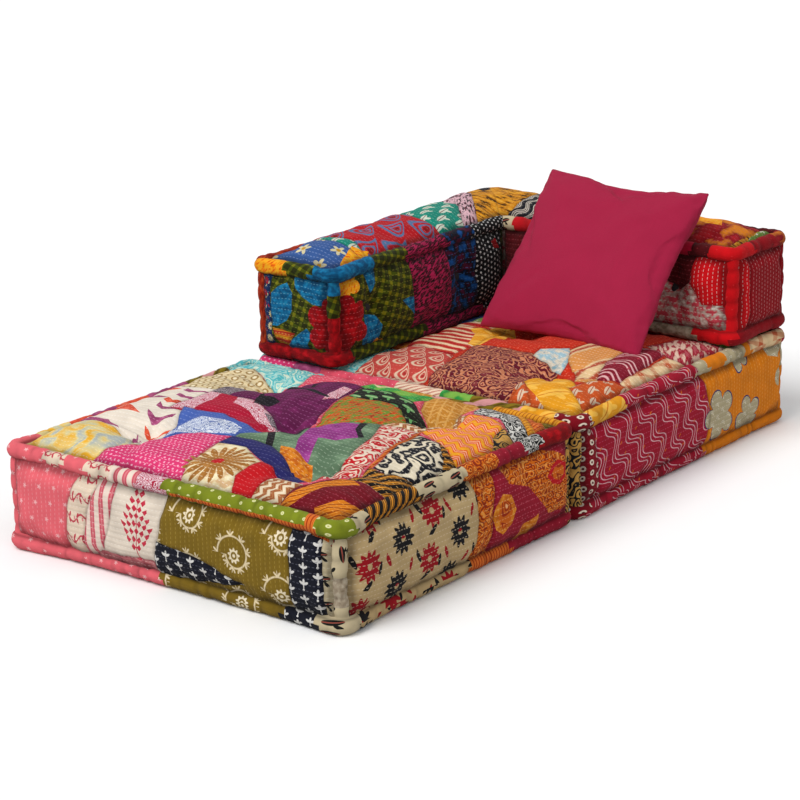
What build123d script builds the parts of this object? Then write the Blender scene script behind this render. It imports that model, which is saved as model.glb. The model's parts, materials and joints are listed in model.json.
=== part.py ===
from build123d import *
import os
from math import asin, cos, hypot, sin, sqrt

# Patchwork floor sofa: a square seat mattress, a footstool mattress in front of it,
# an L-shaped backrest that lies loose on the seat, and a plain scatter cushion.
# X runs along the front edge, Y from front to back, Z up. The pieces are laid out from
# the front left corner of the seat, and moved at the end so that the origin is the
# middle of the sofa's footprint, on the floor.

# Modules, millimetres
module_width = 800
seat_depth = 800
stool_depth = 700
mattress_height = 210
backrest_height = 210
backrest_thickness = 220
module_gap = 6
stack_clearance = 0.3

# Rolled and stitched edges of every module
roll_radius = 18
corner_roll_radius = 17
roll_bend_radius = 34
roll_flat_depth = 0.5
roll_clearance = 0.3

# Shape of a stuffed mattress between its rolled edges
wall_setback = 14
wall_bulge = 12
wall_plan_bulge = 15
end_bulge = 7
end_plan_bulge = 9
shoulder_run = 34
shoulder_drop = 9
rim_drop = 0.5
mattress_crown = 18
backrest_crown = 12
end_shoulder_run = 90
quilt_thickness = 3
filling_clearance = 0.3

# Tufts that are pulled through a mattress, at shares of its width and depth
tuft_shares = [(0.25, 0.25), (0.75, 0.25), (0.5, 0.5), (0.25, 0.75), (0.75, 0.75)]
tuft_spread = 120
tuft_depth = 36
pressed_spread = 60
pressed_depth = 18
pressed_lift = 5
under_spread = 45
under_depth = 9
knot_radius = 9
knot_height = 5
knot_seat_radius = 11
twine_radius = 1.6
twine_clearance = 0.3

# Buttons on the faces of the backrest, at shares of each inner face
button_shares = [0.21, 0.74]
button_spread = 62
button_depth = 20
button_radius = 14
button_height = 8
button_seat_radius = 16

# Scatter cushion, leaning on the rear arm of the backrest
cushion_side = 400
cushion_thickness = 92
cushion_edge = 12
cushion_draw_in = 16
cushion_cover = 1.5
cushion_filling_clearance = 0.3
cushion_yaw = 3
cushion_lean = 42
cushion_roll = -3
cushion_centre = (515, 493.6, 376.6)

# Zip across the rear face of the scatter cushion
zip_length = 280
zip_rise = 66
zip_window = 26
zip_end_margin = 5
zip_clearance = 0.3
tape_thickness = 1.2
chain_width = 4
chain_thickness = 2.4
slider_length = 11
slider_wall = 1.2
lug_radius = 1.9
lug_width = 2
pull_length = 20
pull_width = 7
pull_thickness = 1.4
pull_slot_length = 5
pin_radius = 0.8

# Length that cutters run past what they cut
overrun = 60

backrest_floor = mattress_height + stack_clearance
seat_corners = [(0, 0), (module_width, 0), (module_width, seat_depth), (0, seat_depth)]
stool_front = -module_gap - stool_depth
stool_corners = [(0, stool_front), (module_width, stool_front),
                 (module_width, -module_gap), (0, -module_gap)]
inner_x = backrest_thickness
inner_y = seat_depth - backrest_thickness
backrest_corners = [(0, 0), (inner_x, 0), (inner_x, inner_y), (module_width, inner_y),
                    (module_width, seat_depth), (0, seat_depth)]
inner_corner = 2
reach = 2 * (module_width + seat_depth)
home = Pos(-module_width / 2, (stool_depth + module_gap - seat_depth) / 2, 0)


def profile_face(points, bulges):
    """Closed face through points, counter-clockwise, with arcs that bulge outwards."""
    edges = []
    for index, start in enumerate(points):
        end = points[(index + 1) % len(points)]
        bulge = bulges.get(index, 0)
        if bulge:
            way = direction(start, end)
            middle = ((start[0] + end[0]) / 2 + bulge * way[1],
                      (start[1] + end[1]) / 2 - bulge * way[0])
            edges.append(ThreePointArc(start, middle, end))
        else:
            edges.append(Line(start, end))
    return make_face(Wire(edges))


def direction(start, end):
    """Direction from one flat point to the next."""
    run = (end[0] - start[0], end[1] - start[1])
    length = hypot(run[0], run[1])
    return (run[0] / length, run[1] / length)


def inward_loop(corners, distance):
    """Corners of a square-cornered loop, counter-clockwise, moved inwards."""
    moved = []
    for index, corner in enumerate(corners):
        before = direction(corners[index - 1], corner)
        after = direction(corner, corners[(index + 1) % len(corners)])
        moved.append((corner[0] - distance * (before[1] + after[1]),
                      corner[1] + distance * (before[0] + after[0])))
    return moved


def corner_axis_offset():
    """Distance of a corner roll's axis from the two outer planes that meet there."""
    return roll_radius + roll_bend_radius * (1 - sqrt(0.5))


def corner_cut():
    """Length cut off each wall at a corner, so that the walls end inside the corner roll."""
    aside = corner_axis_offset() - wall_setback
    return aside + sqrt(corner_roll_radius ** 2 - aside ** 2)


def section_face(low, high, floor, height, crown, inset):
    """Upright section of a stuffed module from wall to wall, bulged and crowned."""
    left = low + wall_setback + inset
    right = high - wall_setback - inset
    bottom = floor + inset
    top = floor + height - rim_drop - inset
    groove_low = floor + 2 * roll_radius
    groove_high = floor + height - 2 * roll_radius
    shoulder = top - shoulder_drop
    points = [(left, bottom), (right, bottom), (right, groove_low), (right, groove_high),
              (right, shoulder), (high - shoulder_run, top), (low + shoulder_run, top),
              (left, shoulder), (left, groove_high), (left, groove_low)]
    return profile_face(points, {2: wall_bulge, 5: crown, 8: wall_bulge})


def end_face(start, far, floor, height, crown, inset):
    """Upright section along an arm: a bulged end, then a shoulder up to the crown."""
    left = start + wall_setback + inset
    bottom = floor + inset
    top = floor + height - rim_drop - inset
    groove_low = floor + 2 * roll_radius
    groove_high = floor + height - 2 * roll_radius
    rim = start + shoulder_run
    points = [(left, bottom), (far, bottom), (far, top + crown),
              (rim + end_shoulder_run, top + crown), (rim, top), (left, top - shoulder_drop),
              (left, groove_high), (left, groove_low)]
    return profile_face(points, {6: end_bulge})


def plan_face(corners, inset, concave, bulges):
    """Plan of a module whose walls bulge and whose outer corners are cut off."""
    walls = inward_loop(corners, wall_setback + inset)
    cut = corner_cut()
    points = []
    arcs = {}
    for index, corner in enumerate(walls):
        before = direction(walls[index - 1], corner)
        after = direction(corner, walls[(index + 1) % len(walls)])
        if index != concave:
            points.append((corner[0] - before[0] * cut, corner[1] - before[1] * cut))
            corner = (corner[0] + after[0] * cut, corner[1] + after[1] * cut)
        points.append(corner)
        arcs[len(points) - 1] = bulges[index]
    return profile_face(points, arcs)


def prism(face, plane):
    """A face laid on a plane and drawn out far to both sides."""
    return extrude(plane * face, amount=reach, both=True)


def dent_cutter(spread, depth, seat_radius, inset):
    """Space that a tuft pulls in below a surface at height zero, facing up."""
    run = spread - seat_radius
    curve = (run ** 2 + depth ** 2) / (2 * depth)
    curve_in = curve - inset
    run_in = sqrt(curve_in ** 2 - (curve_in - depth) ** 2)
    half_turn = asin(run_in / curve_in) / 2
    low = -depth - inset
    start = (spread - run_in, low)
    middle = (spread - curve_in * sin(half_turn), curve_in * cos(half_turn) - curve)
    rim = (spread, -inset)
    edges = [Line((0, low), start), ThreePointArc(start, middle, rim),
             Line(rim, (spread, overrun)), Line((spread, overrun), (0, overrun)),
             Line((0, overrun), (0, low))]
    return revolve(Plane.XZ * make_face(Wire(edges)), Axis.Z)


def dome(radius, height):
    """Covered button or stitched knot, flat below."""
    curve = (radius ** 2 + height ** 2) / (2 * height)
    half_turn = asin(radius / curve) / 2
    middle = (curve * sin(half_turn), height - curve * (1 - cos(half_turn)))
    edges = [Line((0, 0), (radius, 0)), ThreePointArc((radius, 0), middle, (0, height)),
             Line((0, height), (0, 0))]
    return revolve(Plane.XZ * make_face(Wire(edges)), Axis.Z)


def ring(corners, height, radius):
    """Rolled edge along a loop of square corners, with rounded bends."""
    path = inward_loop(corners, roll_radius)
    start = ((path[0][0] + path[1][0]) / 2, (path[0][1] + path[1][1]) / 2)
    loop = make_face(Wire([Line(a, b) for a, b in zip(path, path[1:] + path[:1])]))
    wire = fillet(loop.vertices(), roll_bend_radius).face().outer_wire()
    wire = Plane.XY.offset(height) * wire
    edge = wire.edges().sort_by_distance(Vector(start[0], start[1], height))[0]
    along = edge.tangent_at(0)
    section = Plane(origin=edge.position_at(0), z_dir=along) * Circle(radius)
    return sweep(section, path=Wire(wire.edges()))


def corner_axes(corners, concave):
    """Plan places of the corner rolls."""
    places = inward_loop(corners, corner_axis_offset())
    return [place for index, place in enumerate(places) if index != concave]


def corner_posts(corners, concave, floor, height, radius):
    """Upright rolls at the outer corners, from ring axis to ring axis."""
    low = floor + roll_radius
    length = height - 2 * roll_radius
    return [Pos(x, y, low + length / 2) * Cylinder(radius, length)
            for x, y in corner_axes(corners, concave)]


def rolled_edges(corners, concave, floor, height):
    """The two rings and the corner rolls of a module, and the space they take up."""
    low = floor + roll_radius - roll_flat_depth
    high = floor + height - roll_radius
    slab = Pos(0, 0, floor - overrun / 2) * Box(reach, reach, overrun)
    bottom_ring = ring(corners, low, roll_radius) - slab
    top_ring = ring(corners, high, roll_radius)
    low_space = ring(corners, low, roll_radius + roll_clearance)
    high_space = ring(corners, high, roll_radius + roll_clearance)
    posts = [post - low_space - high_space
             for post in corner_posts(corners, concave, floor, height, corner_roll_radius)]
    space = [low_space, high_space] + corner_posts(
        corners, concave, floor, height, corner_roll_radius + roll_clearance)
    return top_ring, bottom_ring, posts, space


def tuft_places(corners):
    """Plan places of a mattress's tufts."""
    (x0, y0), (x1, y1) = corners[0], corners[2]
    return [(x0 + u * (x1 - x0), y0 + v * (y1 - y0)) for u, v in tuft_shares]


def box_form(corners, crown, inset):
    """Stuffed mattress between its rolled edges, without tufts."""
    (x0, y0), (x1, y1) = corners[0], corners[2]
    across = prism(section_face(x0, x1, 0, mattress_height, crown, inset), Plane.XZ)
    along = prism(section_face(y0, y1, 0, mattress_height, crown, inset), Plane.YZ)
    plan = prism(plan_face(corners, inset, None, [wall_plan_bulge] * 4), Plane.XY)
    return across & along & plan


def crown_form(inset):
    """Crown of the seat where the backrest leaves it bare."""
    base = mattress_height - rim_drop - inset
    low = base - shoulder_drop
    across = [(inner_x, low), (module_width - shoulder_run, low),
              (module_width - shoulder_run, base), (inner_x, base)]
    along = [(shoulder_run, low), (inner_y, low), (inner_y, base), (shoulder_run, base)]
    return (prism(profile_face(across, {2: mattress_crown}), Plane.XZ)
            & prism(profile_face(along, {2: mattress_crown}), Plane.YZ))


def mattress_tufts(corners, pressed, inset):
    """Cutters of the tufts above and below, and the top face height of each knot."""
    top = mattress_height - rim_drop
    cutters = []
    seats = []
    for x, y in tuft_places(corners):
        if pressed(x, y):
            rim = top + pressed_lift
            spread, depth = pressed_spread, pressed_depth
        else:
            rim = top + mattress_crown
            spread, depth = tuft_spread, tuft_depth
        cutters.append(Pos(x, y, rim) * dent_cutter(spread, depth, knot_seat_radius, inset))
        under = dent_cutter(under_spread, under_depth, knot_seat_radius, inset)
        cutters.append(Pos(x, y, 0) * Rot(180, 0, 0) * under)
        seats.append((x, y, rim - depth))
    return cutters, seats


def cut_all(solid, cutters):
    """A solid without any of the cutters."""
    for cutter in cutters:
        solid = solid - cutter
    return solid


def sorted_panels(cover, names):
    """The cover's loose pieces, each under the name whose test place it lies nearest to."""
    found = {}
    for name, place in names.items():
        found[name] = min(cover.solids(),
                          key=lambda piece: (piece.center() - Vector(*place)).length)
    return found


def make_mattress(name, corners, form, pressed):
    """All pieces of one mattress: cover panels, rolled edges, filling, tufts and twine."""
    (x0, y0), (x1, y1) = corners[0], corners[2]
    middle_x, middle_y = (x0 + x1) / 2, (y0 + y1) / 2
    top_ring, bottom_ring, posts, space = rolled_edges(corners, None, 0, mattress_height)
    outer_dents, seats = mattress_tufts(corners, pressed, 0)
    inner_dents, _ = mattress_tufts(corners, pressed, quilt_thickness)
    fill_inset = quilt_thickness + filling_clearance
    fill_dents, _ = mattress_tufts(corners, pressed, fill_inset)
    bores = [Pos(x, y, z / 2) * Cylinder(twine_radius + twine_clearance, z + overrun)
             for x, y, z in seats]
    skin = cut_all(form(0), outer_dents) - cut_all(form(quilt_thickness), inner_dents)
    skin = cut_all(skin, space + bores)
    core = cut_all(form(fill_inset), fill_dents + space + bores)
    half = mattress_height / 2
    places = {
        "top_panel": (middle_x, middle_y, mattress_height),
        "bottom_panel": (middle_x, middle_y, 0),
        "front_border": (middle_x, y0, half),
        "rear_border": (middle_x, y1, half),
        "left_border": (x0, middle_y, half),
        "right_border": (x1, middle_y, half),
    }
    pieces = sorted_panels(skin, places)
    pieces["filling"] = core
    pieces["top_roll"] = top_ring
    pieces["bottom_roll"] = bottom_ring
    pieces["corner_rolls"] = posts
    pieces["tuft_knots"] = [Pos(x, y, z) * dome(knot_radius, knot_height) for x, y, z in seats]
    pieces["under_knots"] = [Pos(x, y, under_depth) * Rot(180, 0, 0) * dome(knot_radius, knot_height)
                             for x, y, z in seats]
    pieces["tuft_twine"] = [Pos(x, y, (z + under_depth) / 2) * Cylinder(twine_radius, z - under_depth)
                            for x, y, z in seats]
    return {f"{name}_{key}": piece for key, piece in pieces.items()}


def arm_half(rear):
    """The part of the backrest on one side of the mitre through its corner."""
    far = reach
    left_side = [(0, seat_depth), (inner_x, inner_y), (inner_x + far, inner_y - far),
                 (-far, inner_y - far), (-far, seat_depth + far)]
    rear_side = [(-far, seat_depth + far), (inner_x + far, inner_y - far),
                 (inner_x + far, seat_depth + far)]
    points = rear_side if rear else left_side
    return prism(profile_face(points, {}), Plane.XY)


def arm_form(rear, inset):
    """One stuffed arm of the backrest, mitred at the corner, without buttons."""
    shape = (backrest_floor, backrest_height, backrest_crown, inset)
    if rear:
        section = prism(section_face(inner_y, seat_depth, *shape), Plane.YZ)
        end = prism(end_face(-module_width, reach, *shape), Plane.XZ)
        end = mirror(end, Plane.YZ)
    else:
        section = prism(section_face(0, inner_x, *shape), Plane.XZ)
        end = prism(end_face(0, reach, *shape), Plane.YZ)
    bulges = [end_plan_bulge, wall_plan_bulge, wall_plan_bulge,
              end_plan_bulge, wall_plan_bulge, wall_plan_bulge]
    plan = prism(plan_face(backrest_corners, inset, inner_corner, bulges), Plane.XY)
    return section & end & plan & arm_half(rear)


def button_places(rear):
    """Plan places of the buttons' twine on an arm's middle line, and its outward direction."""
    if rear:
        run = module_width - inner_x
        return [((inner_x + share * run, (inner_y + seat_depth) / 2), (0, -1))
                for share in button_shares]
    return [((inner_x / 2, share * inner_y), (1, 0)) for share in button_shares]


def button_planes(rear):
    """Planes of the button seats: inner face first, then outer face, for each button."""
    height = backrest_floor + backrest_height / 2
    face = backrest_thickness / 2 - wall_setback + wall_bulge
    planes = []
    for (x, y), (dx, dy) in button_places(rear):
        for side in (1, -1):
            origin = (x + side * face * dx, y + side * face * dy, height)
            planes.append(Plane(origin=origin, x_dir=(0, 0, 1), z_dir=(side * dx, side * dy, 0)))
    return planes


def make_backrest():
    """All pieces of the L-shaped backrest."""
    top_ring, bottom_ring, posts, space = rolled_edges(
        backrest_corners, inner_corner, backrest_floor, backrest_height)
    fill_inset = quilt_thickness + filling_clearance
    height = backrest_floor + backrest_height / 2
    middle = backrest_thickness / 2
    face = backrest_thickness / 2 - wall_setback + wall_bulge
    twine_length = 2 * (face - button_depth)
    pieces = {"inner_buttons": [], "outer_buttons": [], "button_twine": []}
    for arm, rear in (("left", False), ("rear", True)):
        planes = button_planes(rear)
        dents = {inset: [plane * dent_cutter(button_spread, button_depth, button_seat_radius, inset)
                         for plane in planes]
                 for inset in (0, quilt_thickness, fill_inset)}
        bores = [plane * Pos(0, 0, -face) * Cylinder(twine_radius + twine_clearance,
                                                    backrest_thickness + overrun)
                 for plane in planes[::2]]
        skin = (cut_all(arm_form(rear, 0), dents[0])
                - cut_all(arm_form(rear, quilt_thickness), dents[quilt_thickness]))
        skin = cut_all(skin, space + bores)
        if rear:
            long_middle = (inner_x + module_width) / 2
            places = {
                "top_panel": (long_middle, seat_depth - middle, backrest_floor + backrest_height),
                "bottom_panel": (long_middle, seat_depth - middle, backrest_floor),
                "inner_border": (long_middle, inner_y, height),
                "outer_border": (long_middle, seat_depth, height),
                "end_border": (module_width, seat_depth - middle, height),
            }
        else:
            places = {
                "top_panel": (middle, inner_y / 2, backrest_floor + backrest_height),
                "bottom_panel": (middle, inner_y / 2, backrest_floor),
                "inner_border": (inner_x, inner_y / 2, height),
                "outer_border": (0, inner_y / 2, height),
                "end_border": (middle, 0, height),
            }
        panels = sorted_panels(skin, places)
        pieces.update({f"{arm}_{key}": piece for key, piece in panels.items()})
        pieces[f"{arm}_filling"] = cut_all(arm_form(rear, fill_inset),
                                           dents[fill_inset] + space + bores)
        button = dome(button_radius, button_height)
        seated = [plane * Pos(0, 0, -button_depth) * button for plane in planes]
        pieces["inner_buttons"] += seated[::2]
        pieces["outer_buttons"] += seated[1::2]
        pieces["button_twine"] += [plane * Pos(0, 0, -face) * Cylinder(twine_radius, twine_length)
                                   for plane in planes[::2]]
    pieces["top_roll"] = top_ring
    pieces["bottom_roll"] = bottom_ring
    pieces["corner_rolls"] = posts
    return {f"backrest_{key}": piece for key, piece in pieces.items()}


def cushion_plane():
    """Frame of the scatter cushion: X along its width, Y up its face, Z out of its front."""
    upright = Plane(origin=cushion_centre, x_dir=(1, 0, 0), z_dir=(0, -1, 0))
    turned = Rot(0, cushion_yaw, 0) * Rot(-cushion_lean, 0, 0) * Rot(0, 0, cushion_roll)
    return Plane(upright.location * turned)


def cushion_form(inset):
    """Pillow with a crown on both faces and sides drawn in between its corners."""
    half = cushion_side / 2 - inset
    edge = cushion_edge / 2 - inset
    crown = (cushion_thickness - cushion_edge) / 2
    lens = profile_face([(-half, -edge), (half, -edge), (half, edge), (-half, edge)],
                        {0: crown, 2: crown})
    sides = profile_face([(-half, -half), (half, -half), (half, half), (-half, half)],
                         {index: -cushion_draw_in for index in range(4)})
    return prism(lens, Plane.XZ) & prism(lens, Plane.YZ) & prism(sides, Plane.XY)


def zip_plane():
    """Frame of the zip on the cushion's rear face: X along the zip, Z out of the face."""
    half = cushion_side / 2
    edge = cushion_edge / 2
    crown = (cushion_thickness - cushion_edge) / 2
    curve = (half ** 2 + crown ** 2) / (2 * crown)
    place = zip_rise - half
    depth = sqrt(curve ** 2 - place ** 2)
    return Plane(origin=(0, place, curve - crown - edge - depth), x_dir=(1, 0, 0),
                 z_dir=(0, place, -depth))


def slab(length, width, low, high):
    """Box about the zip's line, between two heights over the face."""
    return Pos(0, 0, (low + high) / 2) * Box(length, width, high - low)


def make_zip():
    """Tapes, chain, slider and pull, in the zip's own frame."""
    space_width = chain_width + 2 * zip_clearance
    space_height = chain_thickness + 2 * zip_clearance
    slider_width = space_width + 2 * slider_wall
    slider_height = space_height + 2 * slider_wall
    opening = zip_length - 2 * zip_clearance
    tape_inner = slider_width / 2 + zip_clearance
    tape_outer = zip_window / 2 - zip_clearance
    tape_width = tape_outer - tape_inner
    tape = slab(opening, tape_width, -tape_thickness, 0)
    tape_middle = (tape_inner + tape_outer) / 2
    tapes = [Pos(0, side * tape_middle, 0) * tape for side in (-1, 1)]
    chain = slab(opening, chain_width, -chain_thickness / 2, chain_thickness / 2)
    rest_x = zip_length / 2 - zip_end_margin - slider_length / 2
    roof = slider_height / 2
    pin_height = roof + lug_radius
    body = Box(slider_length, slider_width, slider_height)
    body = body + slab(2 * lug_radius, lug_width, roof, pin_height)
    body = body + Pos(0, 0, pin_height) * Rot(90, 0, 0) * Cylinder(lug_radius, lug_width)
    body = body - Box(slider_length + overrun, space_width, space_height)
    body = body - Pos(0, 0, pin_height) * Rot(90, 0, 0) * Cylinder(
        pin_radius + zip_clearance, lug_width + overrun)
    slot_width = lug_width + 2 * zip_clearance
    arm_end = pull_thickness / 2
    pull = Pos(arm_end - pull_length / 2, 0, 0) * Box(pull_length, pull_width, pull_thickness)
    pull = pull - Pos(arm_end - pull_slot_length / 2, 0, 0) * Box(
        pull_slot_length, slot_width, overrun)
    pull = pull + Rot(90, 0, 0) * Cylinder(pin_radius, pull_width)
    place = Pos(rest_x, 0, 0)
    return tapes, chain, place * body, place * Pos(0, 0, pin_height) * pull


def make_cushion():
    """All pieces of the scatter cushion."""
    frame = cushion_plane()
    zip_frame = zip_plane()
    tapes, chain, slider, pull = make_zip()
    window = zip_frame * slab(zip_length, zip_window, -2 * cushion_cover, overrun)
    groove = zip_frame * slab(zip_length, zip_window, -chain_thickness - 2 * slider_wall, overrun)
    skin = cushion_form(0) - cushion_form(cushion_cover)
    front_half = Pos(0, 0, reach / 2) * Box(reach, reach, reach)
    rear_half = Pos(0, 0, -reach / 2) * Box(reach, reach, reach)
    pieces = {
        "front_panel": skin & front_half,
        "rear_panel": (skin & rear_half) - window,
        "insert": cushion_form(cushion_cover + cushion_filling_clearance) - groove,
        "zip_tapes": [zip_frame * tape for tape in tapes],
        "zip_chain": zip_frame * chain,
        "zip_slider": zip_frame * slider,
        "zip_pull": zip_frame * pull,
    }
    placed = {}
    for key, piece in pieces.items():
        group = piece if isinstance(piece, list) else [piece]
        placed[f"cushion_{key}"] = [frame * member for member in group]
    return placed


def solids_of(piece):
    """Every solid of a piece or of a list of pieces."""
    group = piece if isinstance(piece, list) else [piece]
    return [solid for member in group for solid in member.solids()]


def seat_form(inset):
    """Seat mattress: flat where the backrest lies, crowned where it is bare."""
    return box_form(seat_corners, 0, inset) + crown_form(inset)


def stool_form(inset):
    """Footstool mattress, crowned all over."""
    return box_form(stool_corners, mattress_crown, inset)


pieces = {}
pieces.update(make_mattress("seat", seat_corners, seat_form,
                            lambda x, y: x < inner_x or y > inner_y))
pieces.update(make_mattress("stool", stool_corners, stool_form, lambda x, y: False))
pieces.update(make_backrest())
pieces.update(make_cushion())

os.makedirs("parts", exist_ok=True)
for node, piece in pieces.items():
    placed = [home * solid for solid in solids_of(piece)]
    export_step(Compound(children=placed), f"parts/{node}.step")
print(len(pieces), "pieces written")
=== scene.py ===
import json
import math

import bmesh
import bpy
import numpy as np
from mathutils import Matrix, Vector, kdtree, noise
from mathutils.bvhtree import BVHTree


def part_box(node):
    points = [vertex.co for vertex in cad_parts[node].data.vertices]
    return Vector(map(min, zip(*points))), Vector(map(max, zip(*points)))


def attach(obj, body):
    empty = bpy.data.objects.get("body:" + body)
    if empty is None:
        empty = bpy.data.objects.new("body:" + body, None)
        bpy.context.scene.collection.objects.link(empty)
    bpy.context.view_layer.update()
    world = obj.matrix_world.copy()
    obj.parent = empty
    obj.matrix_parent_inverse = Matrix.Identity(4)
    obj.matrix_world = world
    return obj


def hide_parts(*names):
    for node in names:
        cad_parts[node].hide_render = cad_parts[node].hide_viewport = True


bl_info = {
    "name": "Patchwork floor sofa",
    "version": (1, 0, 0),
    "blender": (4, 5, 0),
    "location": "View3D > Sidebar > Floor sofa",
    "description": "Tufted patchwork mattresses, an L-shaped backrest and a plain cushion",
    "category": "Object",
}

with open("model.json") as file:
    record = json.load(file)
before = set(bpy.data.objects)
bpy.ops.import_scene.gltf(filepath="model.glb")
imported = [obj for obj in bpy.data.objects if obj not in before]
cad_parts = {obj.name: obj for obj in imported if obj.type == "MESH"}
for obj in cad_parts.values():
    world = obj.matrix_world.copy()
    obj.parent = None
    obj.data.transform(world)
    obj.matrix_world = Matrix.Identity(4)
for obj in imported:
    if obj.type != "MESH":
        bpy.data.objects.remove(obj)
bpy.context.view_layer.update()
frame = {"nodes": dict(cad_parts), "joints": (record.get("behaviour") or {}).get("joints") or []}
TURN = 2 * math.pi

# Without a seed, noise vectors start from the clock, and each run sways the patches differently
noise.seed_set(1)

# Sizes in metres
CELL = 0.01
ROLL_RADIUS = 0.018
POST_RADIUS = 0.0145
POST_INSET = 0.0215
SIDE_SWELL = 0.005
SIDE_LIMIT = 0.01
QUILT_THICKNESS = 0.0022
COVER_THICKNESS = 0.0012
CUSHION_HALF = 0.2
DRAWN_IN = 0.014
THREAD_PITCH = 0.0011
STITCH_ROW = 0.0105
STITCH_LENGTH = 0.0086
ZIP_PITCH = 0.0014

# Cloth simulation: pressure inside a cover, and number of frames
PRESSURE = 4.0
FRAMES = 20

# Outputs of the groups that draw a cloth's surface
SURFACE = {"Color": "Color", "Roughness": "Float", "Height": "Float"}


def by_name(text):
    """Rows of a table, by their first words."""
    rows = (line.split() for line in text.strip().splitlines())
    return {name: row for name, *row in rows}


def by_panel(text):
    """Pairs of a print and a shape, by the panel whose name stands above them."""
    panels = {}
    for block in text.strip().split("\n\n"):
        panel, *lines = block.splitlines()
        panels[panel] = [line.split(" ", 1) for line in lines]
    return panels


def stretches(text):
    """Pairs of a print and the place where it starts."""
    words = text.split()
    return [(label, float(share)) for label, share in zip(words[::2], words[1::2])]


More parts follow.
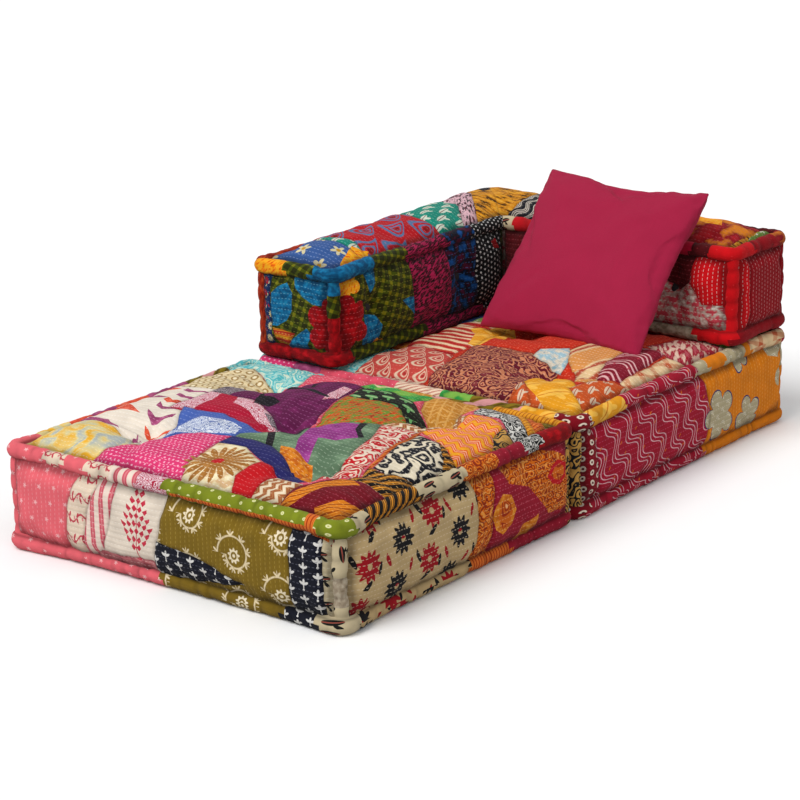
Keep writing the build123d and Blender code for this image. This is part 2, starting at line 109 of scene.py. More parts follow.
# Prints: name, pattern, cell in mm, turn in degrees, figure's share, ground, first ink, second ink, thread
PRINTS = by_name("""
salmon_buti petals 34 20 0.15 E9767F F4B8BA F7C6C6 EFA2A8
red_vine vine 40 90 0.5 E8D6C2 C84D5E D98A8C F4E6DA
pink_beads stripes 24 0 0.5 DE8A90 EAD9CC D0566A F0D6D0
white_bush petals 200 0 0.05 E6DACB E6DACB E6DACB F1E8DC
bush_red petals 200 0 0.05 C93F55 C93F55 C93F55 E58C96
dusty_pink batik 60 0 0.3 C67C80 D89A98 A55C62 E9C5BF
olive_scroll scroll 106 0 0.22 8A7228 E6D6B4 F4EAD2 A88E3A
navy_sprigs sprig 29 0 0.34 20222F DCDAD6 DCDAD6 5A5C6A
beige_blossom blossom 84 12 0.36 C6AE84 A51D2A 1D1B1E DCCBAE
orange_paisley curls 22 0 0.5 DD7A1C 9A3A14 E8A050 F0B070
maroon_dots dots 16 30 0.1 A0223A C9586A C9586A C8566A
mango paisley 44 0 0.3 D8741E A83A18 F0C090 F0B070
turquoise_net curls 30 40 0.4 63BFC4 A9D8D2 DCE6D2 CFE3DA
pink_dash dots 14 0 0.08 DF6276 F2B8C0 F2B8C0 F6D2D6
tan_rings rings 22 0 0.3 E0CFA9 A98B5A F1E7CC EFE3C4
olive_pink stripes 50 55 0.42 8E7A22 D9A0A0 6A5616 C9B070
white_cotton petals 90 0 0.02 EAE0D2 EAE0D2 EAE0D2 F6F0EA
coral batik 60 0 0.2 E4694C EC8468 D85A3E F2B09E
mauve batik 60 0 0.2 B45E88 C47A9C A04C76 DBA6C0
plum batik 90 0 0.15 7C2C62 8E3A72 6A2252 9A5084
ink_black dots 20 0 0.05 201A22 3A3440 3A3440 4A4450
black_lace curls 13 0 0.5 2A2228 A89AA2 B8ACB0 6A6068
crimson dots 18 0 0.04 B4193F C83A58 C83A58 D8607A
crimson_lace curls 12 20 0.55 B8204A E8C8D0 F0DDE0 E8A8B8
blue_field dots 20 0 0.05 5570B6 7388C6 7388C6 8C9CCE
blue_lace curls 15 0 0.55 5F76B2 DCE2EE E8ECF2 B8C4E0
yellow_marble marble 120 30 0.5 E8DBA0 EDB93C B9C0BE F0E4B8
magenta_dots dots 10 30 0.2 DC477E F0B2C8 F0B2C8 F4C4D4
green_field batik 120 0 0.25 3C9C4E 58B060 8CBF5A 8CC890
cream_petal batik 60 0 0.3 EADDB8 F0E8CC D9B890 F6EEDC
red_core batik 40 0 0.3 C43A2C D85A40 A82A22 E08070
amber_core batik 40 0 0.3 E0902E EBA848 C87020 F0C080
tan_grid lattice 26 20 0.05 C48C3C E8CC90 D8A860 E0B878
leaf_fan leaves 34 70 0.3 22261E 72AC6E D8D8B8 4A5A44
orange_streaks streaks 40 20 0.45 D4602A 7A9440 7A2E1A E08858
sage batik 120 0 0.2 7E987C 92AA8E 6C866C A8BCA2
orchid batik 90 0 0.2 A84E9A B868AA 963E88 C890BE
navy_band dots 20 0 0.04 33336E 4A4A84 4A4A84 5A5A92
daisy_tan batik 64 0 0.2 B98648 C99A5C A8763A EEDDB8
poppy_red dots 20 0 0.04 C61F2A D8404A D8404A DC6468
brown_zigzag zigzag 20 10 0.4 B88A58 EADBC2 A84A3A E0C8A0
red_floral curls 34 10 0.5 E6D6C4 C2262F D06060 F2E6DA
black_curls curls 60 45 0.4 E4D9C2 1E1E28 1E1E28 F2EADA
amber_stripes stripes 17 35 0.5 DC9A38 1C1818 1C1818 E8B870
maroon_field dots 16 20 0.08 7C1528 A84A58 A84A58 A03A4A
amber_flame stripes 12 45 0.3 D6821E A85A14 E8A040 E8A850
orange_yellow zigzag 26 80 0.4 E4562A ECAA30 F2C8A0 F09068
black_tan curls 30 0 0.35 1E2228 C9A05A C9A05A 40444A
squiggle curls 20 0 0.5 DAD8D2 1E1E20 1E1E20 F0EEEA
lime_dots dots 24 0 0.15 8A942C E4E4B0 B8B86A C0C478
orange_trim stripes 8 0 0.4 D8702A B84E1A E89A50 E8A070
amber_trim stripes 8 0 0.4 E09A22 C07818 F0BC50 F0C070
red_stripes stripes 26 100 0.4 B81C28 ECD2B0 D06040 D05058
yellow_leaf leaves 60 30 0.36 E6A62A F2C25A D08020 F0C060
orange_red dots 15 0 0.1 C83A20 E07A60 E07A60 DC7058
batik_maroon curls 30 0 0.46 CC8A68 6C1E30 8A3A40 DCA888
pale_blue batik 60 0 0.5 E0D6C4 A6C2CC 8CACB8 F0EAE0
cream_tan stripes 120 15 0.5 E2C69C D89A5A B85A40 F0DCC0
terra_motif leaves 34 -40 0.3 CA602C DCC6AE 9C3A1C E08C58
maroon_curls waves 64 90 0.4 8C1C34 E4B8B8 B84A5A B04A5C
cream_plaid checks 44 30 0.3 E6CCA4 B8503A C87850 F2E2C6
crimson_cream streaks 70 -35 0.4 A8243C E2C6B4 C0606A C85868
terra_paisley paisley 40 25 0.34 C2524A DCC4AC A83A38 D87A6C
blanket_edge stripes 9 60 0.5 B41A2C EEDCC4 EEDCC4 D06070
crimson_waves waves 54 -32 0.22 AC1C3A EAC2C8 D9742A C85070
ring_edge rings 20 0 0.2 8A1226 E8DCCB 4A0A18 A03040
amber_field dots 18 10 0.05 E08A18 EEA844 EEA844 F0B050
grey_leaf leaves 24 60 0.2 BDB294 E0D8C0 8A8270 D8D0B8
rust streaks 40 90 0.3 A8381C C4582C 86260F C4623C
small_print blossom 26 10 0.34 1E3A66 B02436 D8C8A0 6A7A9A
green_plaid checks 21 20 0.36 34380C A89C22 5E6A12 8A8A30
turquoise batik 40 0 0.3 1878A4 2A92BC 0F5C84 6AB0CC
orange_flower streaks 30 30 0.5 EE8A12 F2B42C D85E12 F4C060
crimson_flower batik 50 0 0.2 B4101E C8242E 8E0A16 D05A60
yellow_red stripes 17 90 0.5 E0A826 B8402A B8402A E8C060
black_magenta streaks 30 70 0.42 150F12 B02C5C 701C3C 5A2A40
blue_tiedye batik 70 0 0.34 0C1020 1E5A98 5A1A3C 3A6AA0
black_dots dots 11 0 0.22 131215 C8C8C6 C8C8C6 5A5A60
sky_daisy petals 64 0 0.26 44669E DCD2AA C89A2E 90A4CE
red_paisley paisley 74 20 0.34 B8202A 5A80A6 8A1420 D05A60
teal_leaves leaves 38 -30 0.3 22907E D2DACA 8C2044 7AC0B0
pink_black streaks 36 -40 0.5 1C1A1E DDB8C0 8C2044 6A5A60
gold_black streaks 60 80 0.3 CC8C1C 5A3A10 E0A83A E0B050
zebra waves 30 20 0.6 1A1A22 CFC6BA CFC6BA 5A5A60
crimson_gold batik 150 0 0.35 8C1220 B0242E D98A2A B04A50
green_white petals 30 0 0.36 88A850 ECE8DA C84A3A C0CCA0
wine dots 18 0 0.08 5C0F18 8A3038 8A3038 8A3A40
grey_mottle batik 46 0 0.5 B4A196 BE4A56 E0D6CC D8CCC4
bright_red dots 26 0 0.05 CC1420 DC3A40 DC3A40 F0C8C4
deep_crimson dots 26 0 0.05 960E1E B03038 B03038 D89090
beige_print leaves 40 60 0.26 CDBFA0 20201E A82A2C E0D6BC
beige_cord batik 40 0 0.3 A89A86 8A7C68 C0B4A0 C8BCA8
unbleached dots 30 0 0.02 C9BA98 C9BA98 C9BA98 DDD2B8
""")

# Shapes on each panel, in hundredths of its width and height. A plus sign marks a printed shape without a
# seam, a bar the print of its border, and an at sign a bloom
PATCHES = by_panel("""
stool_top_panel
pink_dash 0,0 100,0 100,100 0,100
turquoise_net 0,76 0,100 36,100 28,92 31,74 22,79 14,84 8,82 5,76
tan_rings 4,58 5,76 8,82 14,84 20,80 27,77 33,70 28,70 26,68 20,66 20,58
olive_pink 0,50 4,50 4,60 5,77 0,80
white_cotton 0,24 0,50 4,60 20,60 21,50 30,33 35,20 30,18 12,25 5,22
+coral 0,52 3,51 5,45 2,45 0,48
+mauve 0,48 3,45 5,40 2,41 0,42
+coral 0,42 4,38 6,31 3,31 0,33
+mauve 0,32 4,30 8,24 4,23 0,26
+coral 4,57 8,58 13,56 8,54 4,53
+mauve 5,48 9,49 15,47 9,45 5,44
+coral 5,38 9,39 17,34 11,34 6,31
+mauve 6,28 11,29 19,23 12,25 8,23
+mauve 14,57 17,55 20,57 20,56 17,53 14,55
+mauve 15,52 18,50 22,52 22,50 18,48 15,50
+coral 15,47 18,45 22,47 22,45 18,43 15,45
+mauve 16,43 19,40 23,42 23,40 20,38 17,40
+mauve 17,37 21,34 25,37 25,35 22,31 19,34
+coral 21,30 25,27 29,30 29,28 26,25 23,27
+mauve 23,25 26,21 29,19 26,19 24,22
yellow_marble 0,0 0,22 3,24 7,22 12,25 30,18 26,14 25,0
magenta_dots 25,0 27,13 30,17 34,20 40,28 48,30 48,20 50,12 54,0
crimson 20,41 20,58 27,57 33,57 42,53 53,45 50,40 42,40 35,44 28,42 27,39
+crimson_lace 20,41 20,57 24,57 26,50 27,41
+crimson_lace 29,57 34,57 42,53 53,45 51,43 40,48 32,51
+black_lace 42,51 46,52 53,46 51,45
blue_field 23,43 28,42 35,44 42,41 50,40 49,30 40,28 34,20 30,28
+blue_lace 30,32 33,38 40,38 46,36 48,31 40,28 34,22 31,27
plum 33,70 33,80 36,84 42,86 48,84 50,72 52,60 56,48 53,45 42,53 34,57 27,57 20,58 20,66 28,68
+black_lace 20,58 20,66 26,69 28,64 26,57
+crimson_lace 45,80 48,79 50,70 48,67 46,73
+ink_black 34,58 34,61 37,62 40,61 39,56 36,54
+ink_black 32,71 33,71 33,64 35,60 34,59 32,64
+ink_black 34,72 40,73 48,70 48,69 40,71 35,70
+ink_black 36,80 38,76 39,76 37,81
green_field 47,84 47,95 55,100 68,100 65,90 64,82 56,84
+cream_petal 48,97 52,99 57,96 56,91 51,86 48,88
+red_core 50,94 52,96 55,94 53,92
+amber_core 56,88 58,97 60,95 59,88
tan_grid 65,86 64,100 78,100 76,85 80,75 78,71 68,80
leaf_fan 48,84 56,85 64,82 72,76 79,70 74,67 66,74 58,76 50,74
orange_streaks 50,74 58,76 66,74 74,67 72,62 70,60 62,55 57,50 52,62
sage 48,33 53,45 58,50 62,55 70,60 75,48 78,30 81,20 70,20 62,28 49,29
+orchid 58,50 62,54 68,55 73,46 70,41 66,40 70,30 66,30 61,40
+ink_black 56,48 58,49 58,44 55,38 61,28 59,28 54,36 54,41
+ink_black 66,57 68,57 70,51 74,47 73,46 69,50
+amber_core 62,30 67,31 72,29 78,20 73,19 66,24
navy_band 48,24 48,30 60,29 66,26 80,17 77,15 65,20 56,25
cream_petal 54,0 50,12 48,24 56,25 64,20 64,10 70,0
+daisy_tan @56.5,14,68,19,0.6
+poppy_red @56.5,14,13,7,0.2
poppy_red 64,20 67,20 71,17 73,0 69,0 64,10
brown_zigzag 71,17 80,14 80,0 73,0
red_floral 72,60 80,60 82,45 85,25 84,22 80,18 78,30 75,48 70,60
orange_yellow 80,60 88,57 100,50 100,65 92,80 85,84 79,84 82,70
brown_zigzag 70,60 80,60 82,70 79,84 76,85 80,75 78,70 74,67
black_curls 81,58 88,57 94,50 98,42 99,38 90,31 86,32 83,45
amber_stripes 88,57 100,50 100,24 86,22 85,32 90,31 99,38 98,42 94,50
+orange_trim 80,59 81,59 83,45 86,31 85,31 82,45
maroon_field 80,0 80,14 84,21 87,22 100,24 100,0
+amber_flame 80,4 82,14 87,22 91,20 86,14 83,4
+amber_flame 89,6 92,12 97,13 99,9 95,3 91,3
black_tan 92,80 97,77 100,78 100,64 96,68 93,73
squiggle 78,95 80,96 88,92 100,80 100,77 95,78 88,84 80,85 78,88
amber_trim 78,95 79,98 88,95 100,83 100,80 88,92 80,96
orange_trim 79,98 82,100 90,98 100,88 100,83 88,95
olive_pink 82,100 100,100 100,88 90,98

stool_front_border
salmon_buti 0,0 100,0 100,100 0,100
red_vine 19,0 21,55 26,100 32,100 27,55 25,0
pink_beads 25,0 27,55 32,100 38,100 34,55 31,0
white_bush 31,15 34,55 37,100 51,100 49,55 47,15
dusty_pink 24,0 31,23 47,25 48,0
olive_scroll 51,100 49,60 47,20 48,0 87,0 87,100
navy_sprigs 48,46 47,20 48,8 58,13 73,25 58,42
navy_sprigs 86,0 86,100 94,100 95,0
beige_print 95,0 94,100 100,100 100,0
orange_trim 56,100 58,91 74,87 88,84 96,80 96,100

stool_right_border
beige_blossom 0,0 100,0 100,100 0,100
orange_paisley 51,0 54,50 52,100 63,100 60,60 60,20 66,0
maroon_dots 60,0 60,60 63,100 100,100 100,0
+orange_paisley 63,100 68,72 76,60 85,28 100,22 98,60 90,80 78,92 72,100
+amber_core 61,58 64,66 68,62 70,46 68,34 64,28 61,36 60,48
+mango 62.5,56 64,60 67,58 68.5,46 67,37 64,33 62.5,40 62,48
+amber_core 71,12 74,24 80,32 81,20 77,9
+poppy_red 84,62 86,70 90,72 93,66 92,56 89,50 86,54
+mango 85.5,62 87,67 90,68 91.5,64 91,58 89,54 87,57
+orange_trim 58,0 62,14 74,12 78,0

seat_right_border
crimson_waves 0,0 100,0 100,100 0,100
ring_edge 0,0 0,100 7,100 9,50 10,0
amber_field 55,100 58,80 60,50 58,20 59,0 100,0 100,100
+grey_leaf|navy_band @64,41,56,5,0.42
+grey_leaf|navy_band @78,26,48,5,0.46
+grey_leaf|navy_band @75,94,40,5,0.46
+grey_leaf 88,78 93,72 99,88 92,96 87,92
+grey_leaf @98,52,52,5,0.42

seat_top_panel
orange_red 0,0 100,0 100,100 0,100
turquoise_net 0,0 0,30 16,26 29,27 30,0
crimson_gold 0,30 0,58 14,62 28,52 29,27 16,26
blue_field 0,58 0,100 24,100 26,74 28,52 14,62
tan_grid 24,100 26,74 44,76 52,72 54,100
maroon_dots 54,100 52,72 70,75 86,75 84,100
green_field 84,100 86,75 100,75 100,100
red_stripes 26,44 28,56 42,55 46,44 49,29 48,21 40,22 28,27
+yellow_leaf 42,57 48,50 50,29 47,29 42,40 37,44 40,48
green_white 26,58 28,53 42,54 42,60
batik_maroon 49,30 65,32 71,30 75,29 77,22 77,11 78,0 56,0 51,8 51,18
pale_blue 65,36 71,40 75,35 76,28 71,30 66,31
cream_tan 72,39 73,53 84,50 84,36 89,28 90,20 86,19 81,27 75,33
maroon_curls 83,51 84,36 87,27 93,29 92,44 91,54 86,53
yellow_leaf 75,22 78,26 90,15 100,7 100,0 88,0 76,13
terra_motif 88,14 90,28 97,28 100,27 100,6
+terra_motif 78,0 76,12 88,4 89,0
cream_plaid 92,53 93,29 100,26 100,60
crimson_cream 85,60 84,54 92,52 100,58 100,75 86,75
terra_paisley 29,27 40,23 49,20 52,13 51,0 30,0
blanket_edge 28,0 30,5 50,5 54,0

seat_front_border
black_tan 0,0 100,0 100,100 0,100
beige_cord 84,0 84,100 90,100 90,0
wine 90,0 90,100 100,100 100,0

backrest_left_inner_border
green_plaid 0,0 100,0 100,100 0,100
+turquoise 15,16 14,26 18,45 23,42 26,30 25,18 20,12
+turquoise 18,78 17,100 24,96 23,74 20,66
+turquoise 36,50 40,52 46,48 48,32 44,30 40,40
+orange_flower @8,84,38,5,0.3
+crimson_flower @7,42,62,6,0.28
+orange_flower @24,6,26,5,0.3
black_magenta 44,0 42,100 70,100 68,0
blue_tiedye 67,0 64,100 86,100 84,0
black_dots 84,0 82,60 86,100 100,100 100,0
+crimson_flower 93,70 92,78 96,80 97,68

backrest_left_end_border
green_plaid 0,0 100,0 100,100 0,100
rust 0,0 0,100 10,100 11,50 11,0
small_print 11,0 11,50 10,100 28,100 24,60 26,0
+turquoise 26,34 24,52 26,66 34,74 44,80 50,70 48,52 42,42 32,34
+turquoise 50,90 54,76 62,68 74,62 88,62 99,66 99,84 90,90 78,84 62,96
+turquoise 36,8 44,20 54,30 64,38 70,32 64,20 66,6
+crimson_flower @94,40,66,6,0.28
+orange_flower @104,86,34,5,0.3
yellow_red 26,32 50,30 44,18 36,8 30,16

backrest_left_top_panel
teal_leaves 0,0 100,0 100,100 0,100
sky_daisy 0,0 0,16 28,16 28,0
small_print 0,10 5,18 7,30 3,34 0,26
red_paisley 0,16 0,50 10,52 28,48 28,17 18,20
+orange_flower 20,17 23,20 28,12 28,2 23,8
pink_black 0,70 0,84 12,80 24,66 28,62 28,56 14,70
gold_black 0,84 0,100 28,100 28,62 24,66 12,80
+ink_black 8,86 8,100 15,100 13,84

backrest_rear_top_panel
gold_black 0,0 100,0 100,100 0,100
zebra 26,70 26,100 38,100 38,70
red_floral 38,70 38,100 70,100 72,70
crimson_gold 70,70 70,100 94,100 96,70
+orange_flower 74,88 73,96 78,97 84,90 88,84 84,83
green_white 93,100 96,84 100,84 100,100

backrest_rear_inner_border
grey_mottle 0,0 100,0 100,100 0,100
wine 0,0 0,100 20,100 20,0
black_lace 20,0 20,100 60,100 60,0
wine 70,60 74,100 86,100 82,62 76,52
bright_red 84,100 82,60 87,40 94,40 100,30 100,100
+grey_mottle 85,38 84,0 100,0 100,24 94,34

backrest_rear_end_border
deep_crimson 0,0 100,0 100,100 0,100
bright_red 0,0 0,100 26,100 26,0
+grey_mottle 60,0 62,12 80,14 88,40 94,52 100,50 100,0
+amber_core 66,100 74,92 92,94 92,100
""")

# Prints along the rolled edges: the side of the loop that each stretch starts on, with its share of that side
STRETCHES = {
    "stool_top_roll": """
        salmon_buti 0 red_vine .1 salmon_buti .18 red_vine .24 pink_beads .33 crimson_lace .42
        lime_dots .49 orange_trim .93 lime_dots .95 beige_print 1.03 amber_stripes 1.1 beige_print 1.3
        orange_paisley 1.52 maroon_dots 1.66 squiggle 1.78 crimson_flower 1.88 amber_trim 2
        olive_pink 2.2 tan_grid 2.4 green_field 2.5 pink_dash 2.62 turquoise_net 2.8 olive_pink 3.1
        mauve 3.3 coral 3.45 mauve 3.6 coral 3.7 yellow_marble 3.78 salmon_buti 3.92""",
    "stool_bottom_roll": """
        salmon_buti 0 olive_scroll .47 navy_sprigs .86 beige_print .94 beige_blossom 1.04
        orange_trim 1.53 maroon_dots 1.7 black_tan 2 tan_grid 3 salmon_buti 3.5""",
    "seat_top_roll": """
        magenta_dots 0 mauve .1 pink_dash .2 blanket_edge .45 green_field .6 olive_pink .7
        yellow_leaf .85 ring_edge .96 yellow_leaf 1.04 crimson_waves 1.2 grey_leaf 1.56 amber_field 1.6
        grey_leaf 1.7 amber_field 1.8 cream_plaid 1.82 crimson 2 rust 2.5 blue_field 3 turquoise_net 3.7""",
    "seat_bottom_roll": """
        black_tan 0 ring_edge .95 crimson_waves 1.04 amber_field 1.58 rust 2 black_tan 3""",
    "backrest_top_roll": """
        orange_flower 0 green_plaid .35 turquoise .8 turquoise 1.0 green_plaid 1.2 black_magenta 1.4
        blue_tiedye 1.62 black_dots 1.8 beige_print 2.0 poppy_red 2.06 wine 2.5 crimson 2.7 wine 2.85
        bright_red 2.92 deep_crimson 3.3 crimson_gold 3.8 wine 4 teal_leaves 4.8 teal_leaves 5.2
        red_paisley 5.5 rust 5.7""",
    "backrest_bottom_roll": """
        crimson_flower 0 green_plaid 1.05 black_magenta 1.5 black_dots 1.85 black_lace 2 beige_cord 2.55
        bright_red 2.85 deep_crimson 3.05 wine 4 rust 5""",
}

# Narrow trims under a rolled edge: print, and the shares of its first side between which it runs
HEMS = {"stool_top_roll": [("orange_trim", 0.52, 0.95)]}

CORNERS = {
    "stool_corner_rolls": ["salmon_buti 0", "beige_print 0 beige_cord .25 beige_print .5", "black_tan 0",
                           "turquoise_net 0"],
    "seat_corner_rolls": ["mauve 0", "black_tan 0", "amber_field 0 grey_leaf .6", "blue_field 0"],
    "backrest_corner_rolls": ["rust 0", "crimson_flower 0 green_plaid .5 turquoise .72", "bright_red 0",
                              "deep_crimson 0", "wine 0"],
}


# Prints whose rows of stitches run upwards
UPRIGHT = ("olive_scroll", "bright_red", "deep_crimson", "salmon_buti", "amber_field")


def linear(code):
    """Linear colour of a six-digit sRGB code."""
    parts = [int(code[i : i + 2], 16) / 255 for i in (0, 2, 4)]
    return [c / 12.92 if c <= 0.04045 else ((c + 0.055) / 1.055) ** 2.4 for c in parts] + [1]


def dyed(code):
    """Linear colour of a dyed cloth: a little deeper than the code's."""
    return [c ** 1.18 for c in linear(code)]


def adjust(thing, **settings):
    """Sets several properties of a thing, and returns it."""
    for name, value in settings.items():
        setattr(thing, name, value)
    return thing


def feed_node(node, inputs):
    """Gives each named input of a node its value, or the field or socket that feeds it."""
    for place, value in inputs.items():
        value = getattr(value, "socket", value)
        if isinstance(value, bpy.types.NodeSocket):
            node.id_data.links.new(value, node.inputs[place])
        else:
            node.inputs[place].default_value = value


def add_node(tree, kind, inputs=None, **settings):
    """A new shader node with its settings and inputs."""
    node = adjust(tree.nodes.new(f"ShaderNode{kind}"), **settings)
    feed_node(node, inputs or {})
    return node


def field(tree, kind, inputs, **settings):
    """The first output of a new node, as a field."""
    return Field(tree, add_node(tree, kind, inputs, **settings).outputs[0])


class Field:
    """A value that varies over a material, which plain arithmetic works on."""

    def __init__(self, tree, socket):
        self.tree, self.socket = tree, socket

    def math(self, operation, *others, clamp=False):
        inputs = dict(enumerate((self, *others)))
        return field(self.tree, "Math", inputs, operation=operation, use_clamp=clamp)

    def __add__(self, other):
        return self.math("ADD", other)

    def __sub__(self, other):
        return self.math("SUBTRACT", other)

    def __rsub__(self, other):
        return self.math("MULTIPLY_ADD", -1.0, other)

    def __mul__(self, other):
        return self.math("MULTIPLY", other)

    def __truediv__(self, other):
        return self.math("DIVIDE", other)

    __radd__ = __add__
    __rmul__ = __mul__

    def part(self):
        return self.math("FRACT")

    def size(self):
        return self.math("ABSOLUTE")

    def wave(self):
        return self.math("SINE")

    def most(self, other):
        return self.math("MAXIMUM", other)

    def least(self, other):
        return self.math("MINIMUM", other)

    def soft(self, sharp=30):
        """A mask that is one where the value is above zero, with a soft edge."""
        return self.math("MULTIPLY_ADD", sharp, 0.5, clamp=True)


def group_tree(name, inputs, outputs):
    """A new shader node group, its inputs as fields, and the node that takes its outputs."""
    tree = bpy.data.node_groups.new(name, "ShaderNodeTree")
    for way, sockets in (("INPUT", inputs), ("OUTPUT", outputs)):
        for label, kind in sockets.items():
            tree.interface.new_socket(label, in_out=way, socket_type=f"NodeSocket{kind}")
    source = tree.nodes.new("NodeGroupInput")
    sink = tree.nodes.new("NodeGroupOutput")
    return tree, {label: Field(tree, source.outputs[label]) for label in inputs}, sink


def axes(vector):
    """X and Y of a vector as fields."""
    node = add_node(vector.tree, "SeparateXYZ", {0: vector})
    return Field(vector.tree, node.outputs[0]), Field(vector.tree, node.outputs[1])


def joined(x, y):
    """Two fields as a vector."""
    return field(x.tree, "CombineXYZ", {0: x, 1: y})


def clouds(vector, scale, detail=2.0):
    """Soft noise over a vector."""
    return field(vector.tree, "TexNoise", {"Vector": vector, "Scale": scale, "Detail": detail})


def mixed(tree, share, under, over):
    """Two colours mixed by a share."""
    return add_node(tree, "Mix", {"Factor": share, "A": under, "B": over}, data_type="RGBA").outputs["Result"]


def scaled(tree, colour, shade):
    """A colour made lighter or darker."""
    return field(tree, "VectorMath", {0: colour, "Scale": shade}, operation="SCALE")


def weave(x, y):
    """Threads that go over and under each other."""
    return (x * (TURN / THREAD_PITCH)).wave() * (y * (TURN / THREAD_PITCH)).wave()


def cells(x, y):
    """Place inside each cell of a half-drop repeat, and the parity of its column."""
    column = x.math("FLOOR")
    dropped = y + column * 0.5
    parity = (column * 0.5).part() * 2
    return x.part() - 0.5, dropped.part() - 0.5, parity


def radius_of(x, y):
    return (x * x + y * y).math("SQRT")


def leaf(x, y, turn, middle, long, wide):
    """How far inside a leaf a place is: one at its middle, below zero outside."""
    c, s = math.cos(turn), math.sin(turn)
    along = (x * c + y * s - middle) / long
    aside = (y * c - x * s) / wide
    return 1 - (along * along + aside * aside)


def dots(x, y, size):
    a, b, _ = cells(x, y)
    r = radius_of(a, b)
    return (size - r).soft(), (size * 0.4 - r).soft()


def rings(x, y, size):
    a, b, _ = cells(x, y)
    r = radius_of(a, b)
    return (0.08 - (r - size).size()).soft(), (size * 0.5 - r).soft()


def petals(x, y, size):
    a, b, _ = cells(x, y)
    r = radius_of(a, b)
    spread = (b.math("ARCTAN2", a) * 5).wave() * 0.3 + 0.7
    return (size * spread - r).soft(), (size * 0.28 - r).soft()


def blossom(x, y, size):
    a, b, parity = cells(x, y)
    r = radius_of(a, b)
    spread = (b.math("ARCTAN2", a) * 11).wave() * 0.16 + 0.84
    flower = (size * spread - r).soft(60) * (r - 0.07).soft(60)
    leaves = leaf(x.part() - 0.5, y.part() - 0.06, 0.9, 0.0, 0.2, 0.06)
    leaves = leaves.most(leaf(x.part() - 0.08, y.part() - 0.6, -0.9, 0.0, 0.19, 0.055))
    leaves = leaves.most(leaf(x.part() - 0.85, y.part() - 0.45, 1.5, 0.0, 0.14, 0.045)).soft(6)
    return (flower * (1 - parity)).most(leaves * parity), (flower * parity).most(leaves * (1 - parity))


def sprig(x, y, size):
    a, b, _ = cells(x, y)
    shape = leaf(a, b, 1.57, 0.16, size * 0.6, size * 0.24)
    shape = shape.most(leaf(a, b, 1.57, -0.1, size * 0.9, size * 0.09))
    for turn in (0.5, 2.64):
        shape = shape.most(leaf(a, b, turn, 0.17, size * 0.55, size * 0.24))
    return shape.soft(8), leaf(a, b, 1.57, -0.32, size * 0.2, size * 0.2).soft(8)


def paisley(x, y, size):
    a, b, _ = cells(x, y)
    bent = a + (b + 0.1) * (b + 0.1) * 1.6 - 0.06
    r = radius_of(bent / (0.9 - b * 1.3).most(0.25), b * 0.85)
    rim = (0.045 - (r - size).size()).soft()
    core = (0.03 - (r - size * 0.5).size()).soft()
    return rim.most(core), (size * 0.28 - r).soft()


def stripes(x, y, size):
    across = (x.part() - 0.5).size() * 2
    return (size - across).soft(12), (0.1 - (across - size - 0.22).size()).soft(12)


def checks(x, y, size):
    wide = (size - (x.part() - 0.5).size() * 2).soft(12)
    tall = (size - (y.part() - 0.5).size() * 2).soft(12)
    return wide * tall, wide.most(tall) * 0.6


def lattice(x, y, size):
    one = ((x + y).part() - 0.5).size()
    two = ((x - y).part() - 0.5).size()
    return (size - one.least(two)).soft(), (size * 2.2 - one.least(two)).soft()


def zigzag(x, y, size):
    across = (x + (y.part() - 0.5).size() * 1.1).part()
    line = (across - 0.5).size() * 2
    return (size - line).soft(10), (0.1 - (line - 0.75).size()).soft(12)


def waves(x, y, size):
    bent = x + (y * 5.2).wave() * 0.22 + (y * 2.1 + 1.0).wave() * 0.12
    bundle = ((bent.part() - 0.35).size() - 0.3).math("LESS_THAN", 0.0)
    lines = ((bent * 5).part() - 0.5).size()
    a, b, _ = cells(x, y * 2)
    return (size * 0.45 - lines).soft(9) * bundle, leaf(a, b, 0.6, 0.0, 0.09, 0.05).soft(8)


def vine(x, y, size):
    stem = (0.05 - (x.part() - 0.5 + (y * TURN).wave() * 0.2).size()).soft()
    a, b, _ = cells(x, y * 2)
    shape = leaf(a, b, 0.7, 0.15, 0.2, 0.09).most(leaf(a, b, 2.4, 0.15, 0.2, 0.09))
    return stem.most(shape.soft(6)), (0.09 - radius_of(a, b + 0.3)).soft()


def scroll(x, y, size):
    a, b, _ = cells(x, y)
    r = radius_of(a, b)
    angle = b.math("ARCTAN2", a)
    base = (angle * 0.5).wave() * 0.09 + 0.27
    ring = (0.015 - (r - base).size()).soft(60)
    spread = (angle * 9).wave() * 0.16 + 0.84
    sprout = ((angle * (9 / TURN)).part() - 0.5) * r * 0.7
    shape = leaf(r - base, sprout, 0.0, 0.05, 0.06, 0.008)
    for turn in (0.7, -0.7):
        shape = shape.most(leaf(r - base, sprout, turn, 0.06, 0.055, 0.017))
    flower = (size * 0.62 * spread - r).soft(60)
    core = (0.02 - (r - 0.05).size()).soft(60)
    return ring.most(shape.soft(8)).most(flower) * (1 - core), flower * (1 - core) * 0.6


def leaves(x, y, size):
    a, b, _ = cells(x, y)
    body = leaf(a, b, 1.2, 0.0, size * 1.5, size * 0.55)
    rib = (0.02 - (b * 0.36 - a * 0.93).size()).soft(40) * body.soft(6)
    twin = leaf(a, b, 0.3, 0.3, size * 0.6, size * 0.3)
    return body.most(twin).soft(6) * (1 - rib), rib


def batik(x, y, size):
    grain = clouds(joined(x, y), 3.1, 4.0)
    return (grain - 0.75 + size * 0.5).soft(9), (0.62 - size * 0.5 - grain).soft(9)


def streaks(x, y, size):
    grain = clouds(joined(x * 3.2, y * 0.9), 2.2, 3.0)
    return (grain - 0.72 + size * 0.5).soft(14), (0.56 - size * 0.4 - grain).soft(14)


def curls(x, y, size):
    grain = clouds(joined(x, y), 1.25, 0.6)
    bands = (grain * 46).wave()
    return (bands - 0.4 + size).soft(2.2), ((grain * 23).wave() - 0.86).soft(8)


